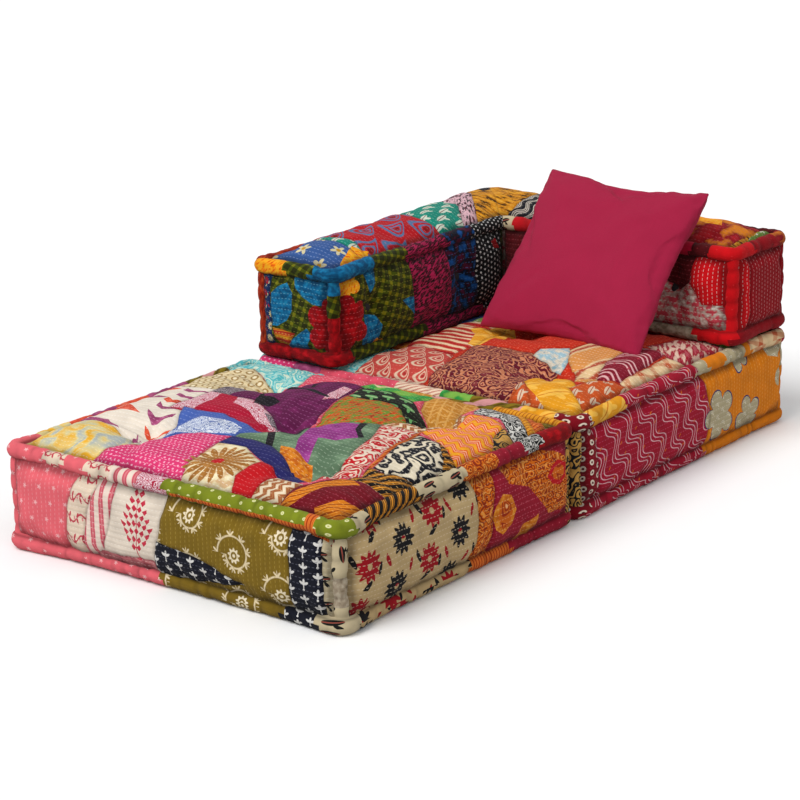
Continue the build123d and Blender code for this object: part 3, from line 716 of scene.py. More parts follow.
def marble(x, y, size):
    drift = clouds(joined(x, y), 1.6, 1.5)
    grain = clouds(joined(x + drift * 2.2, y * 0.45 + drift), 2.6, 2.0)
    return (grain - 0.78 + size * 0.5).soft(7), (0.6 - size * 0.35 - grain).soft(6)


# Patterns by name. Each draws one repeat, and gives the masks of its two inks
FORMULAS = {f.__name__: f for f in (
    dots, rings, petals, blossom, sprig, paisley, stripes, checks, lattice, zigzag, waves, vine, scroll,
    leaves, batik, streaks, curls, marble)}


def pattern_group(name):
    """Node group that draws one repeat and puts out the masks of its two inks."""
    label = f"pattern_{name}"
    if label in bpy.data.node_groups:
        return bpy.data.node_groups[label]
    masks = {"First ink": "Float", "Second ink": "Float"}
    tree, fields, sink = group_tree(label, {"Place": "Vector", "Figure": "Float"}, masks)
    feed_node(sink, dict(zip(masks, FORMULAS[name](*axes(fields["Place"]), fields["Figure"]))))
    return tree


def cotton_group():
    """Node group of hand-quilted cotton: fading, weave, rows of running stitch, sunken seams, and painted
    shade in the creases along seams, rims and gathers and between the rows of stitches.
    """
    label = "quilted_cotton"
    if label in bpy.data.node_groups:
        return bpy.data.node_groups[label]
    inputs = {"Color": "Color", "Thread": "Color", "Flat": "Vector", "Stitching": "Float"}
    tree, fields, sink = group_tree(label, inputs, SURFACE)
    flat, stitching = fields["Flat"], fields["Stitching"]
    x, y = axes(flat)
    drift = clouds(flat, 9.0, 1.0) - 0.5
    row = (y + drift * 0.014) / STITCH_ROW
    line = (row.part() - 0.5).size()
    shift = (row.math("FLOOR") * 0.37).part()
    dash = ((x + drift * 0.004) / STITCH_LENGTH + shift).part()
    stitch = (0.07 - line).soft(30) * (0.27 - (dash - 0.5).size()).soft(24) * stitching
    ripple = (row * TURN).math("COSINE") * stitching
    # Crease mask from the mesh: it sinks the bump, and below it paints shade into the colour
    sunk_and_painted_shade = Field(tree, add_node(tree, "Attribute", attribute_name="seam").outputs["Fac"])
    fade = clouds(flat, 26.0, 4.0)
    # Painted shade: the colour darkens in the creases that the mask marks and between the rows of stitches;
    # fade is the cloth's own uneven tone
    shade = (fade - 0.5) * 0.5 + 1 - sunk_and_painted_shade * 0.62 - ripple * 0.02
    feed_node(sink, {
        "Color": scaled(tree, mixed(tree, stitch * 0.6, fields["Color"], fields["Thread"]), shade),
        "Roughness": 0.86 - stitch * 0.25,
        "Height": ripple * 0.2 + stitch * 0.3 + weave(x, y) * 0.07 - sunk_and_painted_shade * 0.8 + fade * 0.9})
    return tree


def cloth(name, stitching=1.0):
    """Printed cotton from the table of prints, with or without its rows of stitches."""
    label = name if stitching else f"{name}_roll"
    if label in bpy.data.materials:
        return bpy.data.materials[label]
    pattern, cell, turn, size, ground, *inks, thread = PRINTS[name]
    material, tree, shader = new_material(label)
    flat = add_node(tree, "UVMap", uv_map="flat").outputs[0]
    place = add_node(tree, "Mapping", {
        "Vector": flat, "Rotation": (0, 0, math.radians(float(turn))), "Scale": [1000 / float(cell)] * 3})
    drawn = add_node(
        tree, "Group", {"Place": place.outputs[0], "Figure": float(size)}, node_tree=pattern_group(pattern))
    colour = dyed(ground)
    for mask, ink in zip(drawn.outputs, inks):
        colour = mixed(tree, mask, colour, dyed(ink))
    rows = add_node(tree, "Mapping", {
        "Vector": flat, "Rotation": (0, 0, math.radians(90 * (name in UPRIGHT)))})
    surface = add_node(tree, "Group", {
        "Color": colour, "Thread": linear(thread), "Stitching": stitching, "Flat": rows.outputs[0],
    }, node_tree=cotton_group())
    finish_cloth(shader, surface, 0.0016)
    return material


def new_material(name):
    """An empty node material and its shader."""
    material = bpy.data.materials.new(name)
    material.use_nodes = True
    tree = material.node_tree
    return material, tree, tree.nodes["Principled BSDF"]


def finish_cloth(shader, surface, depth):
    """Joins a surface group to a soft, matt shader."""
    bump = add_node(shader.id_data, "Bump", {
        "Strength": 0.8, "Distance": depth, "Height": surface.outputs["Height"]})
    feed_node(shader, {
        "Base Color": surface.outputs["Color"], "Roughness": surface.outputs["Roughness"],
        "Normal": bump.outputs[0], "Specular IOR Level": 0.12, "Sheen Weight": 0.03})


def plain(name, colour, roughness=0.85, metallic=0.0):
    """One plain colour."""
    if name in bpy.data.materials:
        return bpy.data.materials[name]
    material, _, shader = new_material(name)
    feed_node(shader, {"Base Color": linear(colour), "Roughness": roughness, "Metallic": metallic})
    return material


def sides(loop):
    """Each corner of a loop, with the directions of the sides before and after it."""
    for index, corner in enumerate(loop):
        before = np.subtract(corner, loop[index - 1])
        after = np.subtract(loop[(index + 1) % len(loop)], corner)
        yield np.array(corner), before / np.linalg.norm(before), after / np.linalg.norm(after)


def inward(loop, distance):
    """Corners of a square-cornered loop, counter-clockwise, moved inwards."""
    return [(x - distance * (before[1] + after[1]), y + distance * (before[0] + after[0]))
            for (x, y), before, after in sides(loop)]


def inside(loop, points):
    """Whether points lie inside a loop."""
    x, y = np.asarray(points).T
    found = np.zeros(len(x), bool)
    for (ax, ay), (bx, by) in zip(loop, loop[1:] + loop[:1]):
        crossed = (ay > y) != (by > y)
        found ^= crossed & (x < ax + (y - ay) / ((by - ay) or 1.0) * (bx - ax))
    return found


def flat_distance(points, a, b):
    """Distance from flat points to the stretch from a to b."""
    a, b = np.array(a), np.array(b)
    share = np.clip(((points - a) @ (b - a)) / ((b - a) @ (b - a)), 0, 1)
    return np.linalg.norm(points - a - share[:, None] * (b - a), axis=1)


def rim_distance(points, loop):
    """Rounded distance to the nearest sides of a loop."""
    total = np.zeros(len(points))
    for a, b in zip(loop, loop[1:] + loop[:1]):
        total += np.maximum(flat_distance(points, a, b), 1e-6) ** -3.0
    return total ** (-1 / 3.0)


class Module:
    """One stuffed mattress: its loop of corners, its heights, and the faces of its cover.

    Faces are numbered: the top, the bottom, then the walls from the loop's first corner on.
    """

    def __init__(self, name, body, loop, low, high):
        self.name, self.body, self.loop, self.low, self.high = name, body, loop, low, high
        self.core = inward(loop, ROLL_RADIUS)
        self.pins = {}
        base, top = low + ROLL_RADIUS, high - ROLL_RADIUS
        columns = sorted({round(x, 6) for x, _ in self.core})
        rows = sorted({round(y, 6) for _, y in self.core})
        start = Vector((min(x for x, _ in loop), min(y for _, y in loop), 0))
        self.mesh = bmesh.new()
        self.mesh.loops.layers.uv.new("flat")
        for x0, x1 in zip(columns, columns[1:]):
            for y0, y1 in zip(rows, rows[1:]):
                if inside(self.core, [((x0 + x1) / 2, (y0 + y1) / 2)])[0]:
                    across, up = Vector((x1 - x0, 0, 0)), Vector((0, y1 - y0, 0))
                    self.add_grid((x0, y0, top), across, up, 0, start)
                    below = Vector((start.x, max(rows) + ROLL_RADIUS, 0))
                    self.add_grid((x0, y1, base), across, -up, 1, below)
        self.normals = [Vector((0, 0, 1)), Vector((0, 0, -1))]
        for index, a in enumerate(self.core):
            b = self.core[(index + 1) % len(self.core)]
            way = Vector((b[0] - a[0], b[1] - a[1], 0))
            stops = {0.0, 1.0}
            for x, y in [(x, y) for x in columns for y in rows]:
                share = (Vector((x, y, 0)) - Vector((*a, 0))).dot(way) / way.length_squared
                if 0 < share < 1:
                    stops.add(round(share, 6))
            stops = sorted(stops)
            corner = Vector((*loop[index], low))
            for s0, s1 in zip(stops, stops[1:]):
                place = (a[0] + way.x * s0, a[1] + way.y * s0, base)
                self.add_grid(place, way * (s1 - s0), Vector((0, 0, top - base)), index + 2, corner)
            self.normals.append(way.cross(Vector((0, 0, 1))).normalized())
        bmesh.ops.remove_doubles(self.mesh, verts=self.mesh.verts, dist=1e-4)
        self.read()

    def add_grid(self, corner, across, up, face, start):
        """One flat grid of the cover. Its flat place is measured from the module's corner."""
        normal = across.cross(up).normalized()
        middle = Vector(corner) + across / 2 + up / 2
        matrix = Matrix.Translation(middle) @ Matrix((across, up, normal)).transposed().to_4x4()
        count = [max(2, round(way.length / CELL)) for way in (across, up)]
        made = bmesh.ops.create_grid(
            self.mesh, x_segments=count[0], y_segments=count[1], size=0.5, matrix=matrix)
        layer = self.mesh.loops.layers.uv.verify()
        u, v = across.normalized(), up.normalized()
        for piece in {f for vert in made["verts"] for f in vert.link_faces}:
            piece.material_index = face
            for loop in piece.loops:
                away = loop.vert.co - start
                loop[layer].uv = (away.dot(u), away.dot(v))

    def read(self):
        """Reads places, faces and flat places of the cover's vertices."""
        layer = self.mesh.loops.layers.uv.verify()
        self.mesh.verts.ensure_lookup_table()
        self.place = np.array([v.co for v in self.mesh.verts])
        self.face = np.full(len(self.place), -1)
        self.flat = np.zeros((len(self.place), 2))
        for vert in self.mesh.verts:
            kinds = {f.material_index for f in vert.link_faces}
            if len(kinds) == 1:
                self.face[vert.index] = kinds.pop()
                self.flat[vert.index] = vert.link_loops[0][layer].uv

    def rim(self, face):
        """Corners of one face's own loop, in its flat places."""
        if face < 2:
            origin = np.array([min(x for x, _ in self.loop), min(y for _, y in self.loop)])
            depth = max(y for _, y in self.loop) - origin[1]
            loop = [tuple(np.array(p) - origin) for p in self.core]
            return loop if face == 0 else [(x, depth - y) for x, y in loop]
        a, b = self.loop[face - 2], self.core[face - 2]
        c = self.core[(face - 1) % len(self.core)]
        way = np.subtract(c, b) / np.linalg.norm(np.subtract(c, b))
        s0, s1 = np.subtract(b, a) @ way, np.subtract(c, a) @ way
        low, high = ROLL_RADIUS, self.high - self.low - ROLL_RADIUS
        return [(s0, low), (s1, low), (s1, high), (s0, high)]

    def flat_size(self, face):
        """Width and height that the shares of a face's patches are taken of."""
        if face < 2:
            xs, ys = zip(*self.loop)
            return max(xs) - min(xs), max(ys) - min(ys)
        a, b = self.loop[face - 2], self.loop[(face - 1) % len(self.loop)]
        return float(np.linalg.norm(np.subtract(b, a))), self.high - self.low


def pinch(r, spread):
    """Share of a tuft's depth at a distance from it."""
    return 0.5 * np.exp(-((r / (0.15 * spread)) ** 2)) + 0.5 * np.exp(-((r / (0.5 * spread)) ** 1.7))


def risen(distance, reach, power):
    """Share of its full height that a stuffed cover has at a distance from its rim."""
    return 1 - np.exp(-((distance / reach) ** power))


def stuff(module, crown, bulges):
    """Gives the cover the form of a stuffed mattress, crowned on top and with a bulge on each wall."""
    for face, normal in enumerate(module.normals):
        picked = np.flatnonzero(module.face == face)
        flat = module.flat[picked]
        distance = rim_distance(flat, module.rim(face))
        if face < 2:
            height = (ROLL_RADIUS - 0.0005) * risen(distance, 0.017, 1.25)
        else:
            height = (ROLL_RADIUS - 0.002) * risen(distance, 0.0135, 1.2)
            height += bulges[face - 2] * risen(distance, 0.05, 1.6)
        if face == 0:
            height += crown(module.place[picked][:, :2]) * np.clip(distance / 0.05, 0, 1)
        for u, v, depth, spread in module.pins.get(face, []):
            gap = np.hypot(flat[:, 0] - u, flat[:, 1] - v)
            height -= (height[np.argmin(gap)] - depth) * pinch(gap, spread)
        module.place[picked] += height[:, None] * np.array(normal)


def held_vertices(module):
    """Vertices that the stitching holds: the rims, the tufts and the face below."""
    held = (module.face == -1) | (module.face == 1)
    for face, pins in module.pins.items():
        for u, v, _, _ in pins:
            gap = np.hypot(module.flat[:, 0] - u, module.flat[:, 1] - v)
            held |= (module.face == face) & (gap < 0.011)
    return held


def places_of(mesh):
    """Places of a mesh's vertices."""
    found = np.empty(len(mesh.vertices) * 3)
    mesh.vertices.foreach_get("co", found)
    return found.reshape(-1, 3)


def modify(obj, kind, **settings):
    """Adds a modifier with its settings."""
    return adjust(obj.modifiers.new(kind.title(), kind), **settings)


def settle(mesh, held, most, slack):
    """Swells a closed cover with cloth simulation, and returns where its vertices settle."""
    scene = bpy.context.scene
    obj = bpy.data.objects.new("settling", mesh)
    scene.collection.objects.link(obj)
    start = places_of(mesh)
    pins = obj.vertex_groups.new(name="held")
    pins.add([int(i) for i in np.flatnonzero(held)], 1.0, "REPLACE")
    modifier = modify(obj, "CLOTH")
    adjust(modifier.settings, quality=5, mass=0.35, tension_stiffness=25, compression_stiffness=25,
           shear_stiffness=8, bending_stiffness=0.35, use_pressure=True, uniform_pressure_force=PRESSURE,
           shrink_min=-slack, vertex_group_mass="held")
    modifier.settings.effector_weights.gravity = 0
    modifier.collision_settings.use_collision = False
    adjust(modifier.point_cache, frame_start=1, frame_end=FRAMES)
    for step in range(1, FRAMES + 1):
        scene.frame_set(step)
    graph = bpy.context.evaluated_depsgraph_get()
    moved = places_of(obj.evaluated_get(graph).to_mesh()) - start
    scene.frame_set(1)
    bpy.data.objects.remove(obj)
    length = np.maximum(np.linalg.norm(moved, axis=1), 1e-9)
    return start + moved * (np.minimum(length, most) / length)[:, None]


def swell(module, held, case, free, headroom, most=0.012, roof=None):
    """Runs the simulation on a module's cover, and keeps it in its own space.

    Returns the refined cover and the limit that it keeps to.
    """
    set_places(module.mesh, module.place)
    mesh = bpy.data.meshes.new(module.name)
    module.mesh.to_mesh(mesh)
    module.place = settle(mesh, held, most, 0.03)
    bpy.data.meshes.remove(mesh)
    limit = keep_inside(case, free, module.low + 0.0002, module.high + headroom, roof)
    module.place = limit(module.place)
    set_places(module.mesh, module.place)
    return refined(module.mesh), limit


def set_places(mesh, places):
    for vert, place in zip(mesh.verts, places):
        vert.co = place


def refined(mesh):
    """The mesh after one level of subdivision surface, with its flat places kept."""
    data = bpy.data.meshes.new("refining")
    mesh.to_mesh(data)
    obj = bpy.data.objects.new("refining", data)
    bpy.context.scene.collection.objects.link(obj)
    modify(obj, "SUBSURF", levels=1, render_levels=1, uv_smooth="NONE")
    graph = bpy.context.evaluated_depsgraph_get()
    fine = bmesh.new()
    fine.from_mesh(obj.evaluated_get(graph).to_mesh())
    bpy.data.objects.remove(obj)
    bpy.data.meshes.remove(data)
    return fine


def outline(text, size):
    """Outline of a shape in metres. An at sign gives a bloom: middle, radius in mm, petals and notch."""
    if text.startswith("@"):
        u, v, radius, count, notch = (float(c) for c in text[1:].split(","))
        angles = [TURN * step / (count * 8) for step in range(int(count) * 8)]
        reach = [radius / 1000 * (1 - notch * (1 - abs(math.sin(count * a / 2)) ** 0.7)) for a in angles]
        return [(u * size[0] / 100 + r * math.cos(a), v * size[1] / 100 + r * math.sin(a))
                for a, r in zip(angles, reach)]
    pairs = [pair.split(",") for pair in text.split()]
    return [(float(u) * size[0] / 100, float(v) * size[1] / 100) for u, v in pairs]


def shapes_of(label, text, size):
    """Shapes of one entry. A bar in its name adds a narrow border of a second print round a bloom."""
    name, _, border = label.partition("|")
    shapes = [(name, outline(text, size))]
    if border:
        u, v, radius, rest = text[1:].split(",", 3)
        shapes.insert(0, (f"+{border}", outline(f"@{u},{v},{float(radius) + 3},{rest}", size)))
    return shapes


class FlatMesh:
    """A mesh that lies flat, its faces sorted into squares so that those near a place are soon found."""

    square = 0.03
    fine = 2e-5

    def __init__(self, mesh, reach):
        self.mesh, self.reach, self.squares = mesh, reach, {}
        self.add(mesh.faces)

    def add(self, faces):
        for face in faces:
            x, y, _ = face.calc_center_median()
            self.squares.setdefault((int(x // self.square), int(y // self.square)), []).append(face)

    def near(self, points):
        """Faces within reach of the box round some points."""
        spans = []
        for axis in (0, 1):
            low = min(p[axis] for p in points) - self.reach
            high = max(p[axis] for p in points) + self.reach
            spans.append(range(int(low // self.square), int(high // self.square) + 1))
        return [face for x in spans[0] for y in spans[1] for face in self.squares.get((x, y), ())]

    def cut(self, a, b):
        """Cuts the faces that the line from a to b crosses."""
        start, way = Vector((*a, 0)), Vector((b[0] - a[0], b[1] - a[1], 0))
        length = way.length
        if length < 1e-6:
            return
        way /= length
        side = Vector((way.y, -way.x, 0))
        crossed = []
        for face in self.near((a, b)):
            away = [vert.co - start for vert in face.verts]
            aside = [v.dot(side) for v in away]
            if min(aside) < -1e-5 and max(aside) > 1e-5:
                along = [v.dot(way) for v in away]
                if min(along) < length and max(along) > 0:
                    crossed.append(face)
        for edge in dict.fromkeys(edge for face in crossed for edge in face.edges):
            one, two = edge.verts
            s, t = (one.co - start).dot(side), (two.co - start).dot(side)
            if s * t < 0 and min(abs(s), abs(t)) > self.fine:
                bmesh.utils.edge_split(edge, one, s / (s - t))
        for face in crossed:
            ends = [vert for vert in face.verts if abs((vert.co - start).dot(side)) <= self.fine]
            if len(ends) == 2 and not set(ends[0].link_edges) & set(ends[1].link_edges):
                self.add([bmesh.utils.face_split(face, *ends)[0]])

    def carve(self, points):
        """Cuts an outline into the mesh, and returns the faces inside it."""
        for a, b in zip(points, points[1:] + points[:1]):
            self.cut(a, b)
        faces = self.near(points)
        middles = np.array([face.calc_center_median()[:2] for face in faces]).reshape(-1, 2)
        return [face for face, within in zip(faces, inside(points, middles)) if within]


def bent(points, sway, reach=0.022):
    """An outline with its long sides divided and swayed, as hand-cut patches are."""
    if not sway:
        return points
    found = []
    for a, b in zip(points, points[1:] + points[:1]):
        count = max(1, round(math.dist(a, b) / reach))
        for step in range(count):
            spot = Vector((*a, 0)).lerp(Vector((*b, 0)), step / count)
            shift = noise.noise_vector(spot * 9) + noise.noise_vector(spot * 21) * 0.4
            found.append((spot.x + shift.x * sway, spot.y + shift.y * sway))
    return found


def dress(mesh, shapes, cell, sway=0.006):
    """Cuts patches and printed shapes into a flat mesh. Returns the names of its prints."""
    patch = mesh.faces.layers.int.get("patch") or mesh.faces.layers.int.new("patch")
    flat = FlatMesh(mesh, cell)
    names = []
    for number, (name, points) in enumerate(shapes):
        printed = name.startswith("+")
        name = name.lstrip("+")
        if name not in names:
            names.append(name)
        chosen = mesh.faces if number == 0 else flat.carve(bent(points, sway))
        for face in chosen:
            face.material_index = names.index(name)
            if not printed:
                face[patch] = number
    return names


def seam_distance(mesh):
    """Distance of each vertex from the nearest join between two patches, in the flat."""
    patch = mesh.faces.layers.int.get("patch")
    spots = []
    for edge in mesh.edges:
        faces = edge.link_faces
        if len(faces) == 2 and faces[0][patch] != faces[1][patch]:
            a, b = (v.co for v in edge.verts)
            count = max(1, int((b - a).length / 0.002))
            spots += [a.lerp(b, i / count) for i in range(count + 1)]
    far = np.full(len(mesh.verts), 1.0)
    if not spots:
        return far
    tree = kdtree.KDTree(len(spots))
    for index, spot in enumerate(spots):
        tree.insert(spot, index)
    tree.balance()
    for index, vert in enumerate(mesh.verts):
        far[index] = tree.find(vert.co)[2]
    return far


def write_object(mesh, name, materials, smooth=True):
    """A new object from a bmesh, with its materials."""
    if len(materials) == 1:
        for face in mesh.faces:
            face.material_index = 0
    data = bpy.data.meshes.new(name)
    mesh.to_mesh(data)
    mesh.free()
    for material in materials:
        data.materials.append(material)
    if smooth:
        data.shade_smooth()
    obj = bpy.data.objects.new(name, data)
    bpy.context.scene.collection.objects.link(obj)
    return obj


def claim(obj, body, nodes, slot):
    """Says which body a piece rides on and which nodes it stands for. slot, what it is made of, is not used.
    """
    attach(obj, body)
    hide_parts(*nodes)


def faces_of(mesh, index):
    """A copy of the faces of one number."""
    found = mesh.copy()
    bmesh.ops.delete(found, geom=[f for f in found.faces if f.material_index != index], context="FACES")
    return found


def keep_flat(mesh):
    """Keeps the place of each vertex of a flat mesh for its prints, and returns these places."""
    layer = mesh.loops.layers.uv.get("flat") or mesh.loops.layers.uv.new("flat")
    for face in mesh.faces:
        for loop in face.loops:
            loop[layer].uv = loop.vert.co.xy
    return np.array([vert.co.xy for vert in mesh.verts])


def set_form(mesh, places, shades):
    """Moves vertices to their places, and stores a mask of painted shade in the creases at seams, rims and
    gathers, which also sinks the bump.
    """
    seam = mesh.verts.layers.float.new("seam")
    for vert, place, shade in zip(mesh.verts, places, shades):
        vert.co = place
        vert[seam] = shade


def close_tube(mesh):
    """Joins the long sides of a tube and fills its ends."""
    bmesh.ops.remove_doubles(mesh, verts=mesh.verts, dist=2e-5)
    bmesh.ops.holes_fill(mesh, edges=[e for e in mesh.edges if e.is_boundary])


def merged(meshes):
    """One mesh of several, with its faces turned outwards."""
    whole = bmesh.new()
    for mesh in meshes:
        part = bpy.data.meshes.new("part")
        mesh.to_mesh(part)
        mesh.free()
        whole.from_mesh(part)
        bpy.data.meshes.remove(part)
    bmesh.ops.recalc_face_normals(whole, faces=whole.faces)
    return whole


def ripple_height(flat, place, rim, pins, seed):
    """Folds of a stuffed cover: cotton lumps, puckers along the rolled edges and round each tuft."""
    height = np.zeros(len(flat))
    for index, point in enumerate(place):
        spot = Vector(point) + Vector((seed, 0, 0))
        height[index] = 0.0032 * noise.noise(spot * 13) + 0.0016 * noise.noise(spot * 31)
    distance = rim_distance(flat, rim)
    for a, b in zip(rim, rim[1:] + rim[:1]):
        length = math.dist(a, b)
        along = (flat - np.array(a)) @ (np.subtract(b, a) / length)
        near = flat_distance(flat, a, b)
        folds = np.sin(TURN * along / (length / max(2, round(length / 0.041))) + seed)
        folds += 0.6 * np.sin(TURN * along / 0.027 + 2 * seed + near * 60)
        height += 0.0017 * folds * np.exp(-np.maximum(near - ROLL_RADIUS, 0) / 0.02) * (near < 0.12)
    for number, (u, v, _, spread) in enumerate(pins):
        x, y = flat[:, 0] - u, flat[:, 1] - v
        r = np.hypot(x, y)
        angle = np.arctan2(y, x)
        folds = np.sin(7 * angle + number + seed) + 0.7 * np.sin(11 * angle + 2.3 * number + r * 30)
        reach = r / (0.26 * spread)
        height += 0.03 * spread * folds * reach * np.exp(1 - reach) * 0.8
    return height * np.clip((distance - 0.004) / 0.02, 0, 1)


def make_panel(module, fine, face, name, limit, clip=None):
    """One panel of a module's cover: its patches, seams, folds and thickness."""
    mesh = faces_of(fine, face)
    layer = mesh.loops.layers.uv.verify()
    kept = mesh.verts.layers.float_vector.new("place")
    for vert in mesh.verts:
        vert[kept] = vert.co
        vert.co = (*vert.link_loops[0][layer].uv, 0)
    if clip:
        bmesh.ops.bisect_plane(
            mesh, geom=[*mesh.verts, *mesh.edges, *mesh.faces], dist=1e-5,
            plane_co=(*clip[0], 0), plane_no=(*clip[1], 0), clear_outer=True)
    size = module.flat_size(face)
    under = name.endswith("bottom_panel")
    seed = len(name) + face
    shapes = [shape for label, text in PATCHES.get(name, []) for shape in shapes_of(label, text, size)]
    if not shapes:
        shapes = [("unbleached", [])] if under else strips(size, seed)
    if name == "stool_front_border":
        shapes += bush(0.425 * size[0], 0.22 * size[1])
    names = dress(mesh, shapes, CELL)
    far = seam_distance(mesh)
    flat = keep_flat(mesh)
    rim = module.rim(face)
    place = np.array([vert[kept] for vert in mesh.verts])
    height = ripple_height(flat, place, rim, module.pins.get(face, []), float(seed))
    quilt = (far < 1) * np.minimum(far / 0.03, 1) * 0.0012
    height += quilt - 0.0022 * np.exp(-((far / 0.0045) ** 2))
    if face == 1:
        height = -np.abs(height)
    # Painted shade: darker in the groove along each seam between patches, and in the crease along the rolled
    # edges
    painted_seam_shade = 0.62 * np.exp(-((far / 0.0026) ** 2))
    edge = np.maximum(rim_distance(flat, rim) - 0.014, 0)
    shade = np.maximum(painted_seam_shade, 0.9 * np.exp(-((edge / 0.007) ** 2)))
    set_form(mesh, limit(place + height[:, None] * np.array(module.normals[face])), shade)
    mesh.verts.layers.float_vector.remove(kept)
    obj = write_object(mesh, name.replace("_panel", "_cover").replace("_border", "_side"),
                       [cloth(label) for label in names])
    thicken(obj, QUILT_THICKNESS)
    claim(obj, module.body, [name], "under_cloth" if under else "patchwork_quilt")


def bush(x, y):
    """Leaves and rosettes of a block-printed plant that grows from a place."""
    stem = [(x - 0.0012, y), (x + 0.0012, y), (x + 0.0006, y + 0.12), (x - 0.0006, y + 0.12)]
    foot = [(x - 0.008, y + 0.002), (x, y), (x + 0.008, y + 0.002), (x, y + 0.006)]
    shapes = [("+bush_red", stem), ("+bush_red", foot)]
    for row, wide in enumerate((2, 4, 5, 6, 5, 4, 3, 2)):
        for step in range(wide):
            side = step - (wide - 1) / 2
            u, v = x + side * 0.0125, y + 0.022 + row * 0.0145 - abs(side) * 0.002
            shapes.append(("+bush_red", [
                (u, v), (u + 0.0058, v + 0.0065), (u + side * 0.0035, v + 0.0135), (u - 0.0058, v + 0.0065)]))
    return shapes


def strips(size, seed):
    """Upright strips of patchwork for a side that the prints above don't name."""
    labels = ("rust maroon_dots blue_field tan_grid crimson_waves olive_scroll turquoise_net salmon_buti "
              "crimson_gold teal_leaves amber_field grey_leaf plum red_floral").split()
    shapes, place, step = [], 0.0, seed
    end, top = size[0] + 0.05, size[1]
    while place < size[0]:
        lean = 0.012 * math.sin(step * 1.3)
        corners = [(place - lean, -0.01), (end, -0.01), (end, top), (place + lean, top)]
        shapes.append((labels[step % len(labels)], corners))
        place += 0.07 + 0.05 * math.sin(step * 2.1) ** 2
        step += 1
    return shapes


def thicken(obj, thickness):
    """Gives a cover its thickness, inwards."""
    modify(obj, "SOLIDIFY", thickness=thickness, offset=-1)


def roll_line(loop, inset, bend, spacing=0.006):
    """Closed line of a rolled edge in plan, with its outward directions and its corners' places."""
    core = inward(loop, inset)
    points, marks = [], []
    for corner, before, after in sides(core):
        centre = corner - before * bend + after * bend
        marks.append(len(points) + 5)
        for turn in np.linspace(0, math.pi / 2, 11):
            points.append(centre - after * bend * math.cos(turn) + before * bend * math.sin(turn))
    points = np.array(points + points[:1])
    lengths = np.concatenate([[0], np.cumsum(np.linalg.norm(np.diff(points, axis=0), axis=1))])
    total = lengths[-1]
    at = np.linspace(0, total, int(total / spacing) + 1)
    line = np.stack([np.interp(at, lengths, points[:, i]) for i in (0, 1)], axis=1)
    way = np.roll(line[:-1], -1, axis=0) - np.roll(line[:-1], 1, axis=0)
    way = np.vstack([way, way[:1]])
    way /= np.linalg.norm(way, axis=1)[:, None]
    out = np.stack([way[:, 1], -way[:, 0]], axis=1)
    for corner, before, after in sides(core):
        if before[0] * after[1] - before[1] * after[0] > 0:
            near = np.exp(-((np.linalg.norm(line - corner, axis=1) / 0.05) ** 2))
            line = line + near[:, None] * (before - after) * 0.006
    return at, line, out, lengths[marks], total


def tube_mesh(total, radius, rows, around=20):
    """Flat grid that is to be wrapped into a tube."""
    girth = TURN * radius
    mesh = bmesh.new()
    bmesh.ops.create_grid(
        mesh, x_segments=rows, y_segments=around, size=0.5,
        matrix=Matrix.Translation((total / 2, girth / 2, 0)) @ Matrix.Diagonal((total, girth, 1, 1)))
    return mesh, girth


def roll_shapes(name, corners, total, girth):
    """Stretches of print along a rolled edge, and the narrow trims below it."""
    def spot(share):
        side = int(share)
        return corners[side] + (corners[side + 1] - corners[side]) * (share % 1)

    stops = [(label, spot(share)) for label, share in stretches(STRETCHES[name])]
    shapes = [(stops[-1][0], [(-1, -1), (9, -1), (9, 9), (-1, 9)])]
    end, top = total + 0.1, girth + 0.01
    for index, (label, start) in enumerate(stops):
        lean = 0.02 * math.sin(index * 2.4)
        shapes.append((label, [(start, -0.01), (end, -0.01), (end, top), (start + lean, top)]))
    for label, *shares in HEMS.get(name, []):
        a, b = (spot(share) for share in shares)
        shapes.append((label, [(a, girth * 0.9), (b, girth * 0.82), (b, girth * 0.99), (a, girth * 0.97)]))
    return shapes


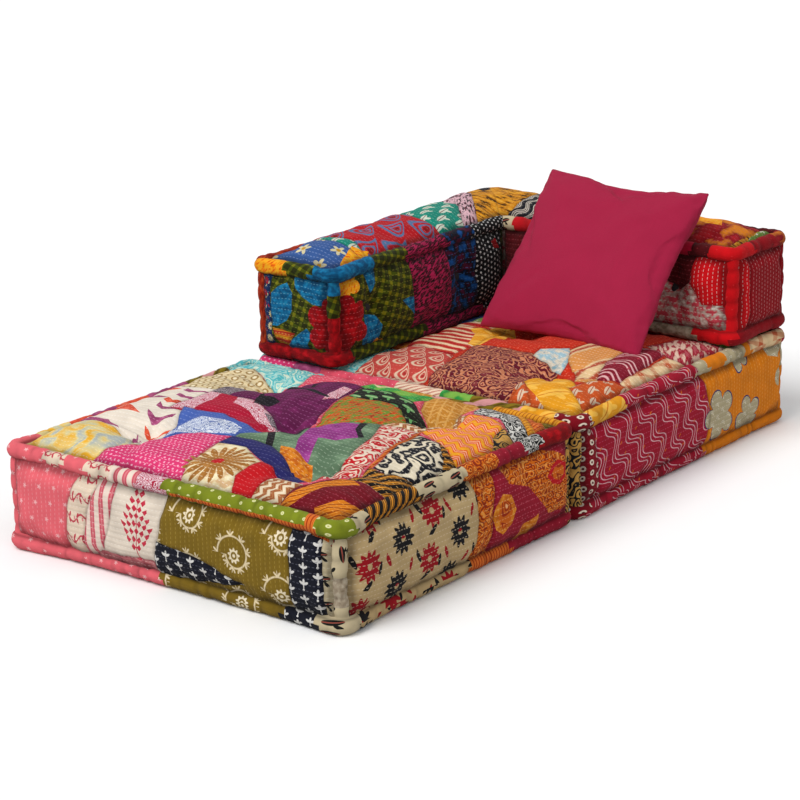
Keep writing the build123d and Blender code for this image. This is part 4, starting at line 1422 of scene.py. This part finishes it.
def make_roll(module, name, height, limit, seed, crease):
    """Stuffed and stitched rolled edge round a module, with painted shade in its gathers. crease gives the
    turns where it meets the cover, along which shade is painted.
    """
    at, line, out, corners, total = roll_line(module.loop, ROLL_RADIUS, 0.022)
    mesh, girth = tube_mesh(total, ROLL_RADIUS, len(at) - 1)
    corners = np.append(corners, total + corners[0])
    names = dress(mesh, roll_shapes(name, corners, total, girth), 0.008, 0.0)
    flat = keep_flat(mesh)
    s, angle = flat[:, 0] % total, flat[:, 1] / ROLL_RADIUS

    def rippled(count, phase):
        return np.sin(TURN * count * s / total + phase)

    middle, way = (np.stack([np.interp(flat[:, 0], at, values[:, i]) for i in (0, 1)], axis=1)
                   for values in (line, out))
    swing = sum(rippled(k, seed * k) / k for k in (3, 7, 11, 19, 29)) * 3
    drop = sum(rippled(k, seed * k + 2) / k for k in (5, 9, 13, 23, 37)) * 3
    uneven = rippled(23, seed) + rippled(41, 0)
    phase = 0.5 * np.sin(angle + 1) + 0.8 * uneven
    gather = np.abs(np.cos(math.pi * round(total / 0.037) * s / total + phase)) ** 6
    gather *= 0.62 + 0.38 * rippled(17, 3 * seed)
    ruck = rippled(round(total / 0.0117), 2 * np.sin(angle) + 2 * uneven)
    ruck += rippled(round(total / 0.0071), 3 * np.cos(angle) + uneven)
    r = ROLL_RADIUS * (0.9 - (0.13 + 0.04 * uneven) * gather + 0.03 * swing + 0.013 * ruck)
    plan = middle + way * (r * np.cos(angle) + 0.0016 * swing)[:, None]
    level = height + r * np.sin(angle) + 0.0018 * drop
    # Painted shade in the gathers of the roll, and in the creases where it meets the cover
    painted_roll_shade = 0.45 * gather * (1 + 0.5 * ruck)
    for place in crease:
        away = np.abs((angle - place + math.pi) % TURN - math.pi)
        painted_roll_shade = np.maximum(painted_roll_shade, 0.9 * np.exp(-((away / 0.3) ** 2)))
    set_form(mesh, limit(np.column_stack([plan, level])), np.clip(painted_roll_shade, 0, 1))
    bmesh.ops.remove_doubles(mesh, verts=mesh.verts, dist=2e-5)
    obj = write_object(mesh, name.replace("_roll", "_rolled_edge"), [cloth(label, 0.0) for label in names])
    claim(obj, module.body, [name], "rolled_edge")


def make_corner_rolls(module, limit, concave):
    """Upright rolls at the outer corners, as one piece."""
    name, low, high = f"{module.name}_corner_rolls", module.low, module.high
    names, posts = [], []
    corners = zip(inward(module.loop, POST_INSET), inward(module.loop, 0.06))
    outer = [pair for index, pair in enumerate(corners) if index != concave]
    for number, ((x0, y0), (hub_x, hub_y)) in enumerate(outer):
        mesh, _ = tube_mesh(high - low - 0.03, POST_RADIUS, 34)
        facing = math.atan2(hub_y - y0, x0 - hub_x)
        flat = keep_flat(mesh)
        s, angle = flat[:, 0], flat[:, 1] / POST_RADIUS
        gather = np.abs(np.cos(math.pi * s / 0.034 + 0.4 * np.sin(angle) + number)) ** 7
        r = POST_RADIUS * (1 - 0.14 * gather + 0.05 * np.sin(60 * s + number))
        away = np.abs((angle - facing + math.pi) % TURN - math.pi)
        x = x0 + r * np.cos(angle) + 0.0012 * np.sin(45 * s + number)
        places = np.column_stack([x, y0 - r * np.sin(angle), low + 0.015 + s])
        # Painted shade on the side of each post that faces the mattress, and in its gathers
        set_form(mesh, limit(places), np.minimum(1, np.maximum(0, (away - 1.25) * 2) + 0.4 * gather))
        close_tube(mesh)
        for label, share in stretches(CORNERS[name][number]):
            if label not in names:
                names.append(label)
            for face in mesh.faces:
                if face.calc_center_median().z > low + (high - low) * share:
                    face.material_index = names.index(label)
        posts.append(mesh)
    materials = [cloth(label, 0.0) for label in names]
    obj = write_object(merged(posts), name.replace("_rolls", "_posts"), materials)
    claim(obj, module.body, [name], "rolled_edge")


def islands(node):
    """Vertices of each loose solid of a CAD node."""
    mesh = bmesh.new()
    mesh.from_mesh(frame["nodes"][node].data)
    bmesh.ops.remove_doubles(mesh, verts=mesh.verts, dist=1e-6)
    left, groups = set(mesh.verts), []
    while left:
        stack, group = [left.pop()], []
        while stack:
            vert = stack.pop()
            group.append(vert.co.copy())
            for edge in vert.link_edges:
                other = edge.other_vert(vert)
                if other in left:
                    left.remove(other)
                    stack.append(other)
        groups.append(np.array(group))
    mesh.free()
    return sorted(groups, key=lambda g: tuple(np.round(g.mean(0), 4)))


def make_filling(module, nodes):
    """Cotton inside a cover: the cover's own form, a little smaller."""
    mesh = module.mesh.copy()
    mesh.normal_update()
    for vert in mesh.verts:
        lump = 0.001 * noise.noise(vert.co * 40)
        vert.co = vert.co - vert.normal * (0.0085 + lump)
    obj = write_object(mesh, nodes[0].replace("_filling", "_wadding"), [plain("cotton_wadding", "E4DCC8")])
    claim(obj, module.body, nodes, "cotton_filling")


def knot_mesh(group, flip):
    """A dome whose threads fan out from its middle, in the place of one solid."""
    low, high = group.min(0), group.max(0)
    size = high - low
    axis, wide = int(np.argmin(size)), max(size)
    turn = Matrix.Rotation(math.pi / 2, 3, "YX"[axis]) if axis < 2 else Matrix.Identity(3)
    mesh = bmesh.new()
    bmesh.ops.create_uvsphere(mesh, u_segments=36, v_segments=14, radius=0.5)
    for vert in mesh.verts:
        x, y, z = vert.co
        groove = 1 - 0.05 * abs(math.sin(9 * math.atan2(y, x)))
        tall = (max(z, -0.12) * 2 * groove - 0.3) * size[axis] * flip
        vert.co = turn @ Vector((x * groove * wide, y * groove * wide, tall)) + Vector((low + high) / 2)
    return mesh


def make_knots(node, body, name, colour, slot, flip=1):
    """Stitched knots or covered buttons in the places of a node's solids."""
    mesh = merged([knot_mesh(group, flip) for group in islands(node)])
    claim(write_object(mesh, name, [plain(name, colour)]), body, [node], slot)


def twine_mesh(group, radius=0.0015):
    """Two-ply twine in the place of one solid."""
    low, high = group.min(0), group.max(0)
    axis = int(np.argmax(high - low))
    length = (high - low)[axis]
    mesh, _ = tube_mesh(length, radius, 60, 10)
    for vert in mesh.verts:
        s, angle = vert.co.x, vert.co.y / radius
        r = 0.0013 * (1 - 0.22 * abs(math.cos(angle + s * 900)))
        spot = (s - length / 2, r * math.cos(angle), r * math.sin(angle))
        vert.co = (low + high) / 2 + np.roll(spot, axis)
    close_tube(mesh)
    return mesh


def make_twine(node, body, name):
    """Twines through a mattress."""
    mesh = merged([twine_mesh(group) for group in islands(node)])
    claim(write_object(mesh, name, [plain("waxed_twine", "CDB98C")]), body, [node], "tufting_twine")


def outline_of(prefix, arm=None):
    """Loop of a module's corners in plan, and its lowest and highest points, from the frame."""
    low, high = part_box(f"{prefix}_top_roll")
    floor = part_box(f"{prefix}_bottom_roll")[0].z
    loop = [(low.x, low.y), (high.x, low.y), (high.x, high.y), (low.x, high.y)]
    if arm:
        loop = [(low.x, low.y), (low.x + arm, low.y), (low.x + arm, high.y - arm),
                (high.x, high.y - arm), (high.x, high.y), (low.x, high.y)]
    return loop, floor, high.z


def swollen(loop, free, growth):
    """A loop with its free sides moved out. free has the shares of the west, south, east and north sides."""
    xs, ys = zip(*loop)
    west, south, east, north = (share * growth for share in free)
    return [(x - west * (x == min(xs)) + east * (x == max(xs)),
             y - south * (y == min(ys)) + north * (y == max(ys))) for x, y in loop]


def keep_inside(loop, free, low, high, roof=None):
    """A function that keeps points inside a module's own space, a little fuller on its free sides."""
    xs, ys = zip(*swollen(loop, free, SIDE_LIMIT))

    def limit(points):
        points = np.clip(points, (min(xs), min(ys), low), (max(xs), max(ys), high))
        if roof is not None:
            points[:, 2] = np.minimum(points[:, 2], roof(points))
        return points

    return limit


def tuft_pins(prefix, module, spread):
    """Places of a module's tufts on its top face, from the knots in the frame."""
    x0, y0 = module.loop[0]
    base = module.high - ROLL_RADIUS
    found = []
    for group in islands(f"{prefix}_tuft_knots"):
        middle = group.mean(0)
        found.append((middle[0] - x0, middle[1] - y0, group[:, 2].min() - base, spread(middle)))
    return found


def finish_module(module, case, free, seeds, fillings, concave=None):
    """Rolled edges, corner rolls and filling of a module."""
    limit = keep_inside(case, free, module.low, module.high)
    heights = (module.high - ROLL_RADIUS, module.low + 0.0175)
    # Turns round each roll where it meets the cover, where shade is painted
    creases = ((2.55, -0.98), (-2.55, 0.98))
    for side, height, seed, crease in zip(("top", "bottom"), heights, seeds, creases):
        make_roll(module, f"{module.name}_{side}_roll", height, limit, seed, crease)
    make_corner_rolls(module, limit, concave)
    make_filling(module, fillings)
    module.mesh.free()


def make_mattress(prefix, body, crown, spread, free, roof=None):
    """One mattress with all its pieces."""
    case, low, high = outline_of(prefix)
    module = Module(prefix, body, swollen(case, free, SIDE_SWELL), low, high)
    module.pins[0] = tuft_pins(prefix, module, spread)
    west, south, east, north = (0.009 * (share > 0) for share in free)
    stuff(module, crown, (south, east, north, west))
    held = held_vertices(module)
    if roof is not None:
        ceiling = roof(module.place)
        module.place[:, 2] = np.minimum(module.place[:, 2], ceiling)
        held |= (module.face == 0) & (ceiling < high)
    fine, limit = swell(module, held, case, free, 0.03, roof=roof)
    names = ("top_panel", "bottom_panel", "front_border", "right_border", "rear_border", "left_border")
    for face, name in enumerate(names):
        make_panel(module, fine, face, f"{prefix}_{name}", limit)
    fine.free()
    finish_module(module, case, free, (1.3, 2.9), [f"{prefix}_filling"])
    make_knots(f"{prefix}_tuft_knots", body, f"{prefix}_tufts", "4A2A2A", "tufting_twine")
    make_knots(f"{prefix}_under_knots", body, f"{prefix}_under_tufts", "CDB98C", "tufting_twine", -1)
    make_twine(f"{prefix}_tuft_twine", body, f"{prefix}_twine")


def dome(points, low, high, height):
    """Crown over a rectangle: highest in its middle, nothing at its rim."""
    share = (points - np.array(low)) / (np.array(high) - np.array(low))
    bump = 1 - np.abs(np.clip(share, 0, 1) * 2 - 1) ** 2.4
    return height * bump[:, 0] * bump[:, 1]


def cushion_frame():
    """The leaning cushion's own frame: x to its right, y up its face, z out of its face."""
    low, high = Vector((9, 9, 9)), Vector((-9, -9, -9))
    upright = Matrix(((1, 0, 0), (0, 0, -1), (0, 1, 0)))
    turn = upright @ Matrix.Rotation(math.radians(3), 3, "Y")
    turn = turn @ Matrix.Rotation(math.radians(-42), 3, "X") @ Matrix.Rotation(math.radians(-3), 3, "Z")
    for vert in frame["nodes"]["cushion_insert"].data.vertices:
        local = turn.transposed() @ vert.co
        low = Vector(map(min, low, local))
        high = Vector(map(max, high, local))
    return Matrix.Translation(turn @ ((low + high) / 2)) @ turn.to_4x4()


def pillow_mesh(cells=44):
    """Closed case of two squares joined at their rims, with drawn-in sides. The rear has number one."""
    mesh = bmesh.new()
    layer = mesh.loops.layers.uv.new("flat")
    for side in (0, 1):
        flip = Matrix.Rotation(math.pi * side, 4, "Y")
        made = bmesh.ops.create_grid(mesh, x_segments=cells, y_segments=cells, size=1, matrix=flip)
        for face in {f for vert in made["verts"] for f in vert.link_faces}:
            face.material_index = side
            for loop in face.loops:
                loop[layer].uv = loop.vert.co.xy * CUSHION_HALF
    bmesh.ops.remove_doubles(mesh, verts=[v for v in mesh.verts if v.is_boundary], dist=1e-5)
    for vert in mesh.verts:
        u, v, _ = vert.co
        kinds = {f.material_index for f in vert.link_faces}
        sign = 0 if len(kinds) == 2 else 1 - 2 * kinds.pop()
        full = ((1 - abs(u) ** 2.6) * (1 - abs(v) ** 2.6)) ** 0.55
        blunt = 1 - 0.018 * (abs(u) * abs(v)) ** 6
        wide = CUSHION_HALF - DRAWN_IN * 0.35 * (1 - v * v)
        tall = CUSHION_HALF - DRAWN_IN * (1 if v < 0 else 0.35) * (1 - u * u)
        vert.co = (wide * u * blunt, tall * v * blunt, sign * 0.044 * full)
    return mesh


def gathered(x, y):
    """Place in the cushion's plan once its seams have drawn its sides in, a little unevenly."""
    u, v = x / CUSHION_HALF, y / CUSHION_HALF
    uneven = 0.001 * math.sin(TURN * (x - y) / 0.034)
    aside = ((0.013 if u > 0 else 0.007) + uneven) * max(0, 1 - v * v)
    below = ((0.014 if v > 0 else 0.001) + uneven) * max(0, 1 - u * u)
    return x - u * aside, y - v * below


def creases(x, y, z):
    """Height of the creases in the cushion's face: broad dents, corner folds and puckers along the seams."""
    if abs(z) < 0.001:
        return 0
    half = CUSHION_HALF
    rim = max(0, half - max(abs(x), abs(y)))
    away, turn = math.dist((abs(x), abs(y)), (half, half)), math.atan2(abs(y) - half, abs(x) - half)
    fold = math.sin(9 * turn + 2 * (x > 0) + 3 * (y > 0)) * math.exp(-(((away - 0.075) / 0.05) ** 2))
    fold += 0.6 * math.sin(14 * turn + 5 * (x * y > 0)) * math.exp(-(((away - 0.12) / 0.06) ** 2))
    along = y if abs(x) > abs(y) else x
    pucker = math.sin(TURN * along / 0.027 + 2.5 * math.sin(31 * along))
    pucker *= math.exp(-((rim - 0.016) / 0.016) ** 2)
    spot = Vector((x, y, math.copysign(0.3, z)))
    dent = 0.009 * noise.noise(spot * 6) + 0.0042 * noise.noise(spot * 14) - 0.001
    return 0.0042 * fold + 0.0018 * pucker + dent * min(1, rim / 0.06)


def cushion_form(place_in_world):
    """The swollen case of the plain cushion in its own frame, no fuller than its solid."""
    mesh = pillow_mesh()
    start = np.array([v.co for v in mesh.verts])
    places = start.copy()
    slim = start * (0.97, 0.97, 0.7)
    set_places(mesh, slim)
    data = bpy.data.meshes.new("case")
    mesh.to_mesh(data)
    places = settle(data, np.zeros(len(slim), bool), 0.03, 0.05)
    bpy.data.meshes.remove(data)
    places -= places.mean(0)
    rim = np.array([len({f.material_index for f in v.link_faces}) == 2 for v in mesh.verts])
    for axis, other in ((0, 1), (1, 0)):
        for sign in (-1, 1):
            edge = rim & (start[:, axis] * sign > CUSHION_HALF - 0.016)
            order = np.argsort(start[edge][:, other])
            along = start[edge][order, other]
            reach = np.interp(start[:, other], along, places[edge][order, axis] * sign)
            goal = np.interp(start[:, other], along, start[edge][order, axis] * sign)
            share = np.clip(start[:, axis] * sign / goal, 0, 1)
            places[:, axis] += sign * (goal - reach) * share
    places[:, 2] *= 0.0455 / np.abs(places[:, 2]).max()
    places[:, :2] = [gathered(x, y) for x, y, _ in places]
    solids = []
    for node in ("cushion_front_panel", "cushion_rear_panel"):
        solid = bmesh.new()
        solid.from_mesh(frame["nodes"][node].data)
        solid.transform(place_in_world.inverted())
        solids.append(BVHTree.FromBMesh(solid))
        solid.free()
    for index, (x, y, z) in enumerate(places):
        sign = 1 if z > 0 else -1
        hit = solids[int(z <= 0)].ray_cast(Vector((x, y, sign)), Vector((0, 0, -sign)))[0]
        solid = abs(hit.z) if hit else 0.004
        tall = max(abs(z), 0.98 * solid) * (abs(z) > 0.001) + creases(x, y, z)
        places[index][2] = sign * min(tall, solid + (0.005 if z > 0 else 0.0004))
    set_places(mesh, places)
    mesh.normal_update()
    return mesh


def zip_frame():
    """Frame of the zip, from its joints and its tapes: x along it, z out of the cushion."""
    joints = {joint["name"]: Vector(joint["axis"]) for joint in frame["joints"]}
    along, up = -joints["zip_slide"].normalized(), joints["zip_pull_flip"].normalized()
    turn = Matrix((along, up, along.cross(up))).transposed()
    tapes = frame["nodes"]["cushion_zip_tapes"].data.vertices
    spots = np.array([turn.transposed() @ vert.co for vert in tapes])
    middle = Vector((spots.min(0) + spots.max(0)) / 2)
    return Matrix.Translation(turn @ middle) @ turn.to_4x4()


def make_rear(case, place_in_world, zipped, colour):
    """Rear of the cushion's cover, with the zip's window in it."""
    mesh = faces_of(case, 1)
    mesh.transform(zipped.inverted() @ place_in_world)
    long, wide = 0.1395, 0.0128
    ends = [(long - wide + wide * math.cos(a), wide * math.sin(a)) for a in np.linspace(-1.57, 1.57, 9)]
    window = ends + [(-x, -y) for x, y in ends]
    flat = FlatMesh(mesh, 0.012)
    doomed = [f for f in flat.carve(window) if f.calc_center_median().z > -0.02]
    bmesh.ops.delete(mesh, geom=doomed, context="FACES")
    for vert in mesh.verts:
        x, y, z = vert.co
        away = math.hypot(max(abs(x) - long, 0), max(abs(y) - wide, 0))
        share = math.exp(-((away / 0.016) ** 2)) if z > -0.02 else 0
        vert.co.z = z * (1 - share) + 0.0013 * share
    mesh.transform(zipped)
    make_cushion_half(mesh, "rear", colour)


def make_cushion_half(mesh, side, colour):
    """Front or rear of the cushion's cover."""
    obj = write_object(mesh, f"cushion_{side}_cover", [plain_cotton(colour)])
    modify(obj, "SUBSURF", levels=1, render_levels=1)
    thicken(obj, COVER_THICKNESS)
    claim(obj, "scatter_cushion", [f"cushion_{side}_panel"], "plain_cotton")


def plain_cotton(colour):
    """Plain woven cotton, with thicker threads here and there."""
    name = "plain_woven_cotton"
    if name in bpy.data.materials:
        return bpy.data.materials[name]
    group, fields, sink = group_tree("plain_weave", {"Color": "Color", "Flat": "Vector"}, SURFACE)
    x, y = axes(fields["Flat"])
    threads = weave(x, y)
    slub = clouds(joined(x * 30, y * 700), 1.0) + clouds(joined(x * 700, y * 30), 1.0)
    fade = clouds(fields["Flat"], 14.0, 3.0)
    shade = threads * 0.03 + (slub - 1) * 0.16 + (fade - 0.5) * 0.14 + 1
    feed_node(sink, {
        "Color": scaled(group, fields["Color"], shade),
        "Roughness": (slub - 1) * 0.1 + 0.8,
        "Height": threads * 0.3 + slub * 0.5})
    material, tree, shader = new_material(name)
    flat = add_node(tree, "UVMap", uv_map="flat")
    surface = add_node(tree, "Group", {"Color": colour, "Flat": flat.outputs[0]}, node_tree=group)
    finish_cloth(shader, surface, 0.0006)
    return material


def make_zip(zipped):
    """The zip: tapes, coil teeth, slider and pull."""
    nickel = plain("nickel", "C9C6BF", 0.3, 1.0)
    for part, body, name, slot, material, bevel in (
        ("tapes", "scatter_cushion", "zip_tape_pair", "zip_tape", plain("zip_tape_weave", "7C1B3A"), 0.0001),
        ("slider", "zip_slider", "zip_runner", "zip_metal", nickel, 0.0004),
        ("pull", "zip_pull", "zip_tab", "zip_metal", nickel, 0.0003),
    ):
        mesh = bmesh.new()
        mesh.from_mesh(frame["nodes"][f"cushion_zip_{part}"].data)
        bmesh.ops.remove_doubles(mesh, verts=mesh.verts, dist=1e-6)
        bmesh.ops.dissolve_limit(mesh, angle_limit=0.02, verts=mesh.verts, edges=mesh.edges)
        obj = write_object(mesh, name, [material])
        modify(obj, "BEVEL", width=bevel, segments=2, limit_method="ANGLE", harden_normals=True)
        claim(obj, body, [f"cushion_zip_{part}"], slot)
    inverse = zipped.inverted()
    spots = np.array([inverse @ vert.co for vert in frame["nodes"]["cushion_zip_chain"].data.vertices])
    start, size = spots.min(0), np.ptp(spots, axis=0)
    level, wide = start[2] + size[2] / 2, size[1] / 2
    teeth = bmesh.new()
    for index, side in enumerate((-1, 1)):
        hook = Matrix.Translation((start[0] + ZIP_PITCH * (index + 0.5), side * wide * 0.28, level))
        hook @= Matrix.Diagonal((ZIP_PITCH * 1.15, wide * 1.4, size[2] * 0.98, 1))
        bmesh.ops.create_uvsphere(teeth, u_segments=8, v_segments=5, radius=0.5, matrix=hook)
        cord = Matrix.Translation((start[0] + ZIP_PITCH, side * wide * 0.8, level))
        cord @= Matrix.Diagonal((2 * ZIP_PITCH, wide * 0.3, size[2] * 0.5, 1))
        bmesh.ops.create_cube(teeth, size=1, matrix=cord)
    teeth.transform(zipped)
    bmesh.ops.recalc_face_normals(teeth, faces=teeth.faces)
    obj = write_object(teeth, "zip_coil", [plain("zip_nylon", "8E2446", 0.45)])
    modify(obj, "ARRAY", count=int(size[0] / (2 * ZIP_PITCH)), use_relative_offset=False,
           use_constant_offset=True,
           constant_offset_displace=zipped.to_3x3() @ Vector((2 * ZIP_PITCH, 0, 0)))
    claim(obj, "scatter_cushion", ["cushion_zip_chain"], "zip_teeth")


def floor_material():
    """Pale floor that looks white and lights the sofa from below only a little."""
    material, tree, shader = new_material("pale_floor")
    seen = Field(tree, add_node(tree, "LightPath").outputs["Is Camera Ray"])
    feed_node(shader, {"Base Color": seen * 0.45 + 0.55, "Roughness": 0.95, "Specular IOR Level": 0})
    return material


class StageSettings(bpy.types.PropertyGroup):
    floor_size: bpy.props.FloatProperty(
        name="Floor size", description="Width of the pale floor", default=60.0, unit="LENGTH")
    sky_level: bpy.props.FloatProperty(
        name="Sky", description="Strength of the even light from all round", default=0.5)
    key_level: bpy.props.FloatProperty(
        name="Key light", description="Strength of the main light", default=1.95)
    fill_level: bpy.props.FloatProperty(
        name="Fill light", description="Strength of the light from the right", default=0.48)


class SofaSettings(bpy.types.PropertyGroup):
    arm_thickness: bpy.props.FloatProperty(
        name="Arm thickness", description="Thickness of the backrest's arms", default=0.22, unit="LENGTH")
    seat_crown: bpy.props.FloatProperty(
        name="Seat crown", description="How far the mattresses rise between their tufts",
        default=0.018, unit="LENGTH")
    backrest_crown: bpy.props.FloatProperty(
        name="Backrest crown", description="How far the backrest rises along its middle",
        default=0.02, unit="LENGTH")
    cushion_colour: bpy.props.FloatVectorProperty(
        name="Cushion colour", description="Colour of the plain cushion", subtype="COLOR", size=4,
        default=linear("A21D40"), min=0, max=1)


class FLOORSOFA_OT_footstool(bpy.types.Operator):
    """Make the footstool mattress"""

    bl_idname = "floorsofa.footstool"
    bl_label = "Footstool"

    def execute(self, context):
        loop, _, _ = outline_of("stool")

        def crown(points):
            return dome(points, loop[0], loop[2], context.scene.floor_sofa.seat_crown)

        make_mattress("stool", "footstool", crown, lambda middle: 0.12, (2, 1.6, 2, 0))
        return {"FINISHED"}


class FLOORSOFA_OT_seat(bpy.types.Operator):
    """Make the seat mattress, pressed flat where the backrest lies on it"""

    bl_idname = "floorsofa.seat"
    bl_label = "Seat"

    def execute(self, context):
        settings = context.scene.floor_sofa
        loop, _, _ = outline_of("seat")
        arm = settings.arm_thickness
        x0, y1 = loop[0][0] + arm, loop[2][1] - arm
        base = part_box("backrest_bottom_roll")[0].z

        def roof(points):
            covered = (points[:, 0] < x0 + 0.004) | (points[:, 1] > y1 - 0.004)
            return np.where(covered, base - 0.0009, 1.0)

        def spread(middle):
            return 0.12 if middle[0] > x0 and middle[1] < y1 else 0.06

        def crown(points):
            return dome(points, (x0, loop[0][1]), (loop[1][0], y1), settings.seat_crown)

        make_mattress("seat", "seat", crown, spread, (1, 0, 1, 1), roof)
        return {"FINISHED"}


def button_pins(module):
    """Places of the buttons on the module's walls, from those in the frame."""
    for group in islands("backrest_inner_buttons") + islands("backrest_outer_buttons"):
        middle = group.mean(0)
        thin = int(np.argmin(np.ptp(group, axis=0)))
        for index, corner in enumerate(module.loop):
            normal = np.array(module.normals[index + 2])
            start = np.array([*corner, module.low])
            way = np.subtract(module.loop[(index + 1) % len(module.loop)], corner)
            length = np.linalg.norm(way)
            out, along = (middle - start) @ normal, (middle - start)[:2] @ way / length
            if -0.06 < out < 0.01 and 0 < along < length and abs(normal[thin]) > 0.5:
                depth = min(group @ normal) - start @ normal + ROLL_RADIUS
                pins = module.pins.setdefault(index + 2, [])
                pins.append((along, middle[2] - module.low, depth, 0.075))


class FLOORSOFA_OT_backrest(bpy.types.Operator):
    """Make the L-shaped backrest"""

    bl_idname = "floorsofa.backrest"
    bl_label = "Backrest"

    def execute(self, context):
        settings = context.scene.floor_sofa
        case, low, high = outline_of("backrest", settings.arm_thickness)
        free = (1, 0, 1, 1)
        loop = swollen(case, free, SIDE_SWELL)
        module = Module("backrest", "backrest", loop, low, high)
        button_pins(module)

        def crown(points):
            distance = rim_distance(points, module.core)
            return settings.backrest_crown * (1 - (1 - np.clip(distance / 0.09, 0, 1)) ** 2)

        stuff(module, crown, (0.004, 0.004, 0.004, 0.009, 0.009, 0.009))
        fine, limit = swell(module, held_vertices(module), case, free, 0.025, most=0.009)
        corner = tuple(np.subtract(loop[5], loop[0]))
        for side, sign in (("left", 1), ("rear", -1)):
            above, below = (corner, (sign, sign)), ((0, 0), (sign, -sign))
            make_panel(module, fine, 0, f"backrest_{side}_top_panel", limit, above)
            make_panel(module, fine, 1, f"backrest_{side}_bottom_panel", limit, below)
        walls = ("left_end", "left_inner", "rear_inner", "rear_end", "rear_outer", "left_outer")
        for index, wall in enumerate(walls):
            make_panel(module, fine, index + 2, f"backrest_{wall}_border", limit)
        fine.free()
        fillings = ["backrest_left_filling", "backrest_rear_filling"]
        finish_module(module, case, free, (0.7, 1.9), fillings, concave=2)
        for side, name in (("inner", "backrest_buttons"), ("outer", "backrest_back_buttons")):
            make_knots(f"backrest_{side}_buttons", "backrest", name, "121014", "covered_button")
        make_twine("backrest_button_twine", "backrest", "backrest_twine")
        return {"FINISHED"}


class FLOORSOFA_OT_cushion(bpy.types.Operator):
    """Make the plain cushion and its zip"""

    bl_idname = "floorsofa.cushion"
    bl_label = "Scatter cushion"

    def execute(self, context):
        colour = context.scene.floor_sofa.cushion_colour
        place = cushion_frame()
        zipped = zip_frame()
        case = cushion_form(place)
        front = faces_of(case, 0)
        front.transform(place)
        make_cushion_half(front, "front", colour)
        make_rear(case, place, zipped, colour)
        case.transform(place @ Matrix.Diagonal((0.95, 0.95, 0.84, 1)))
        pad = write_object(case, "cushion_pad", [plain("pad_cloth", "EFEBE2")])
        claim(pad, "scatter_cushion", ["cushion_insert"], "cushion_filling")
        make_zip(zipped)
        return {"FINISHED"}


class FLOORSOFA_OT_stage(bpy.types.Operator):
    """Make the floor, the lights and the camera"""

    bl_idname = "floorsofa.stage"
    bl_label = "Stage"

    def execute(self, context):
        settings = context.scene.floor_sofa_stage
        mesh = bmesh.new()
        bmesh.ops.create_grid(mesh, x_segments=1, y_segments=1, size=settings.floor_size / 2)
        floor = write_object(mesh, "floor", [floor_material()], smooth=False)
        world = adjust(bpy.data.worlds.new("studio"), use_nodes=True)
        tree = world.node_tree
        light = add_node(tree, "LightPath")
        seen = Field(tree, light.outputs["Is Camera Ray"]).most(Field(tree, light.outputs["Is Glossy Ray"]))
        level = seen * (1 - settings.sky_level) + settings.sky_level
        feed_node(tree.nodes["Background"], {"Color": (1, 1, 1, 1), "Strength": level})
        context.scene.world = world
        suns = [((-0.25, -1.0, 1.3), settings.key_level, 40), ((1.2, -0.6, 0.9), settings.fill_level, 60)]
        for index, (way, power, spread) in enumerate(suns):
            data = bpy.data.lights.new(f"soft_sun_{index}", "SUN")
            adjust(data, energy=power, angle=math.radians(spread))
            lamp = bpy.data.objects.new(f"soft_sun_{index}", data)
            lamp.rotation_euler = Vector(way).to_track_quat("Z", "Y").to_euler()
            context.scene.collection.objects.link(lamp)
        data = bpy.data.cameras.new("camera")
        adjust(data, sensor_width=36, lens=114.35, clip_start=0.1, clip_end=200)
        camera = bpy.data.objects.new("camera", data)
        yaw, pitch, roll = (math.radians(a) for a in (-38.3, -16.7, -1.406))
        ahead = Vector((math.sin(yaw) * math.cos(pitch), math.cos(yaw) * math.cos(pitch), math.sin(pitch)))
        right = Vector((math.cos(yaw), -math.sin(yaw), 0))
        up = right.cross(ahead)
        side = math.cos(roll) * right + math.sin(roll) * up
        upward = math.cos(roll) * up - math.sin(roll) * right
        matrix = Matrix((side, upward, -ahead)).transposed().to_4x4()
        camera.matrix_world = Matrix.Translation((2.9859, -3.8521, 1.6309)) @ matrix
        context.scene.collection.objects.link(camera)
        context.scene.camera = camera
        context.scene.view_settings.view_transform = "Standard"
        return {"FINISHED"}


class FLOORSOFA_PT_panel(bpy.types.Panel):
    """Buttons that make the sofa's pieces"""

    bl_idname = "FLOORSOFA_PT_panel"
    bl_label = "Floor sofa"
    bl_space_type = "VIEW_3D"
    bl_region_type = "UI"
    bl_category = "Floor sofa"

    def draw(self, context):
        for settings in (context.scene.floor_sofa, context.scene.floor_sofa_stage):
            for name in settings.__annotations__:
                self.layout.prop(settings, name)
        for operator in OPERATORS:
            self.layout.operator(operator.bl_idname)


OPERATORS = (FLOORSOFA_OT_footstool, FLOORSOFA_OT_seat, FLOORSOFA_OT_backrest, FLOORSOFA_OT_cushion,
             FLOORSOFA_OT_stage)
CLASSES = (StageSettings, SofaSettings, *OPERATORS, FLOORSOFA_PT_panel)


def register():
    for item in CLASSES:
        bpy.utils.register_class(item)
    bpy.types.Scene.floor_sofa = bpy.props.PointerProperty(type=SofaSettings)
    bpy.types.Scene.floor_sofa_stage = bpy.props.PointerProperty(type=StageSettings)


def unregister():
    del bpy.types.Scene.floor_sofa_stage
    del bpy.types.Scene.floor_sofa
    for item in reversed(CLASSES):
        bpy.utils.unregister_class(item)


def main():
    register()
    for operator in OPERATORS:
        space, _, name = operator.bl_idname.partition(".")
        getattr(getattr(bpy.ops, space), name)()


if __name__ == "__main__":
    main()
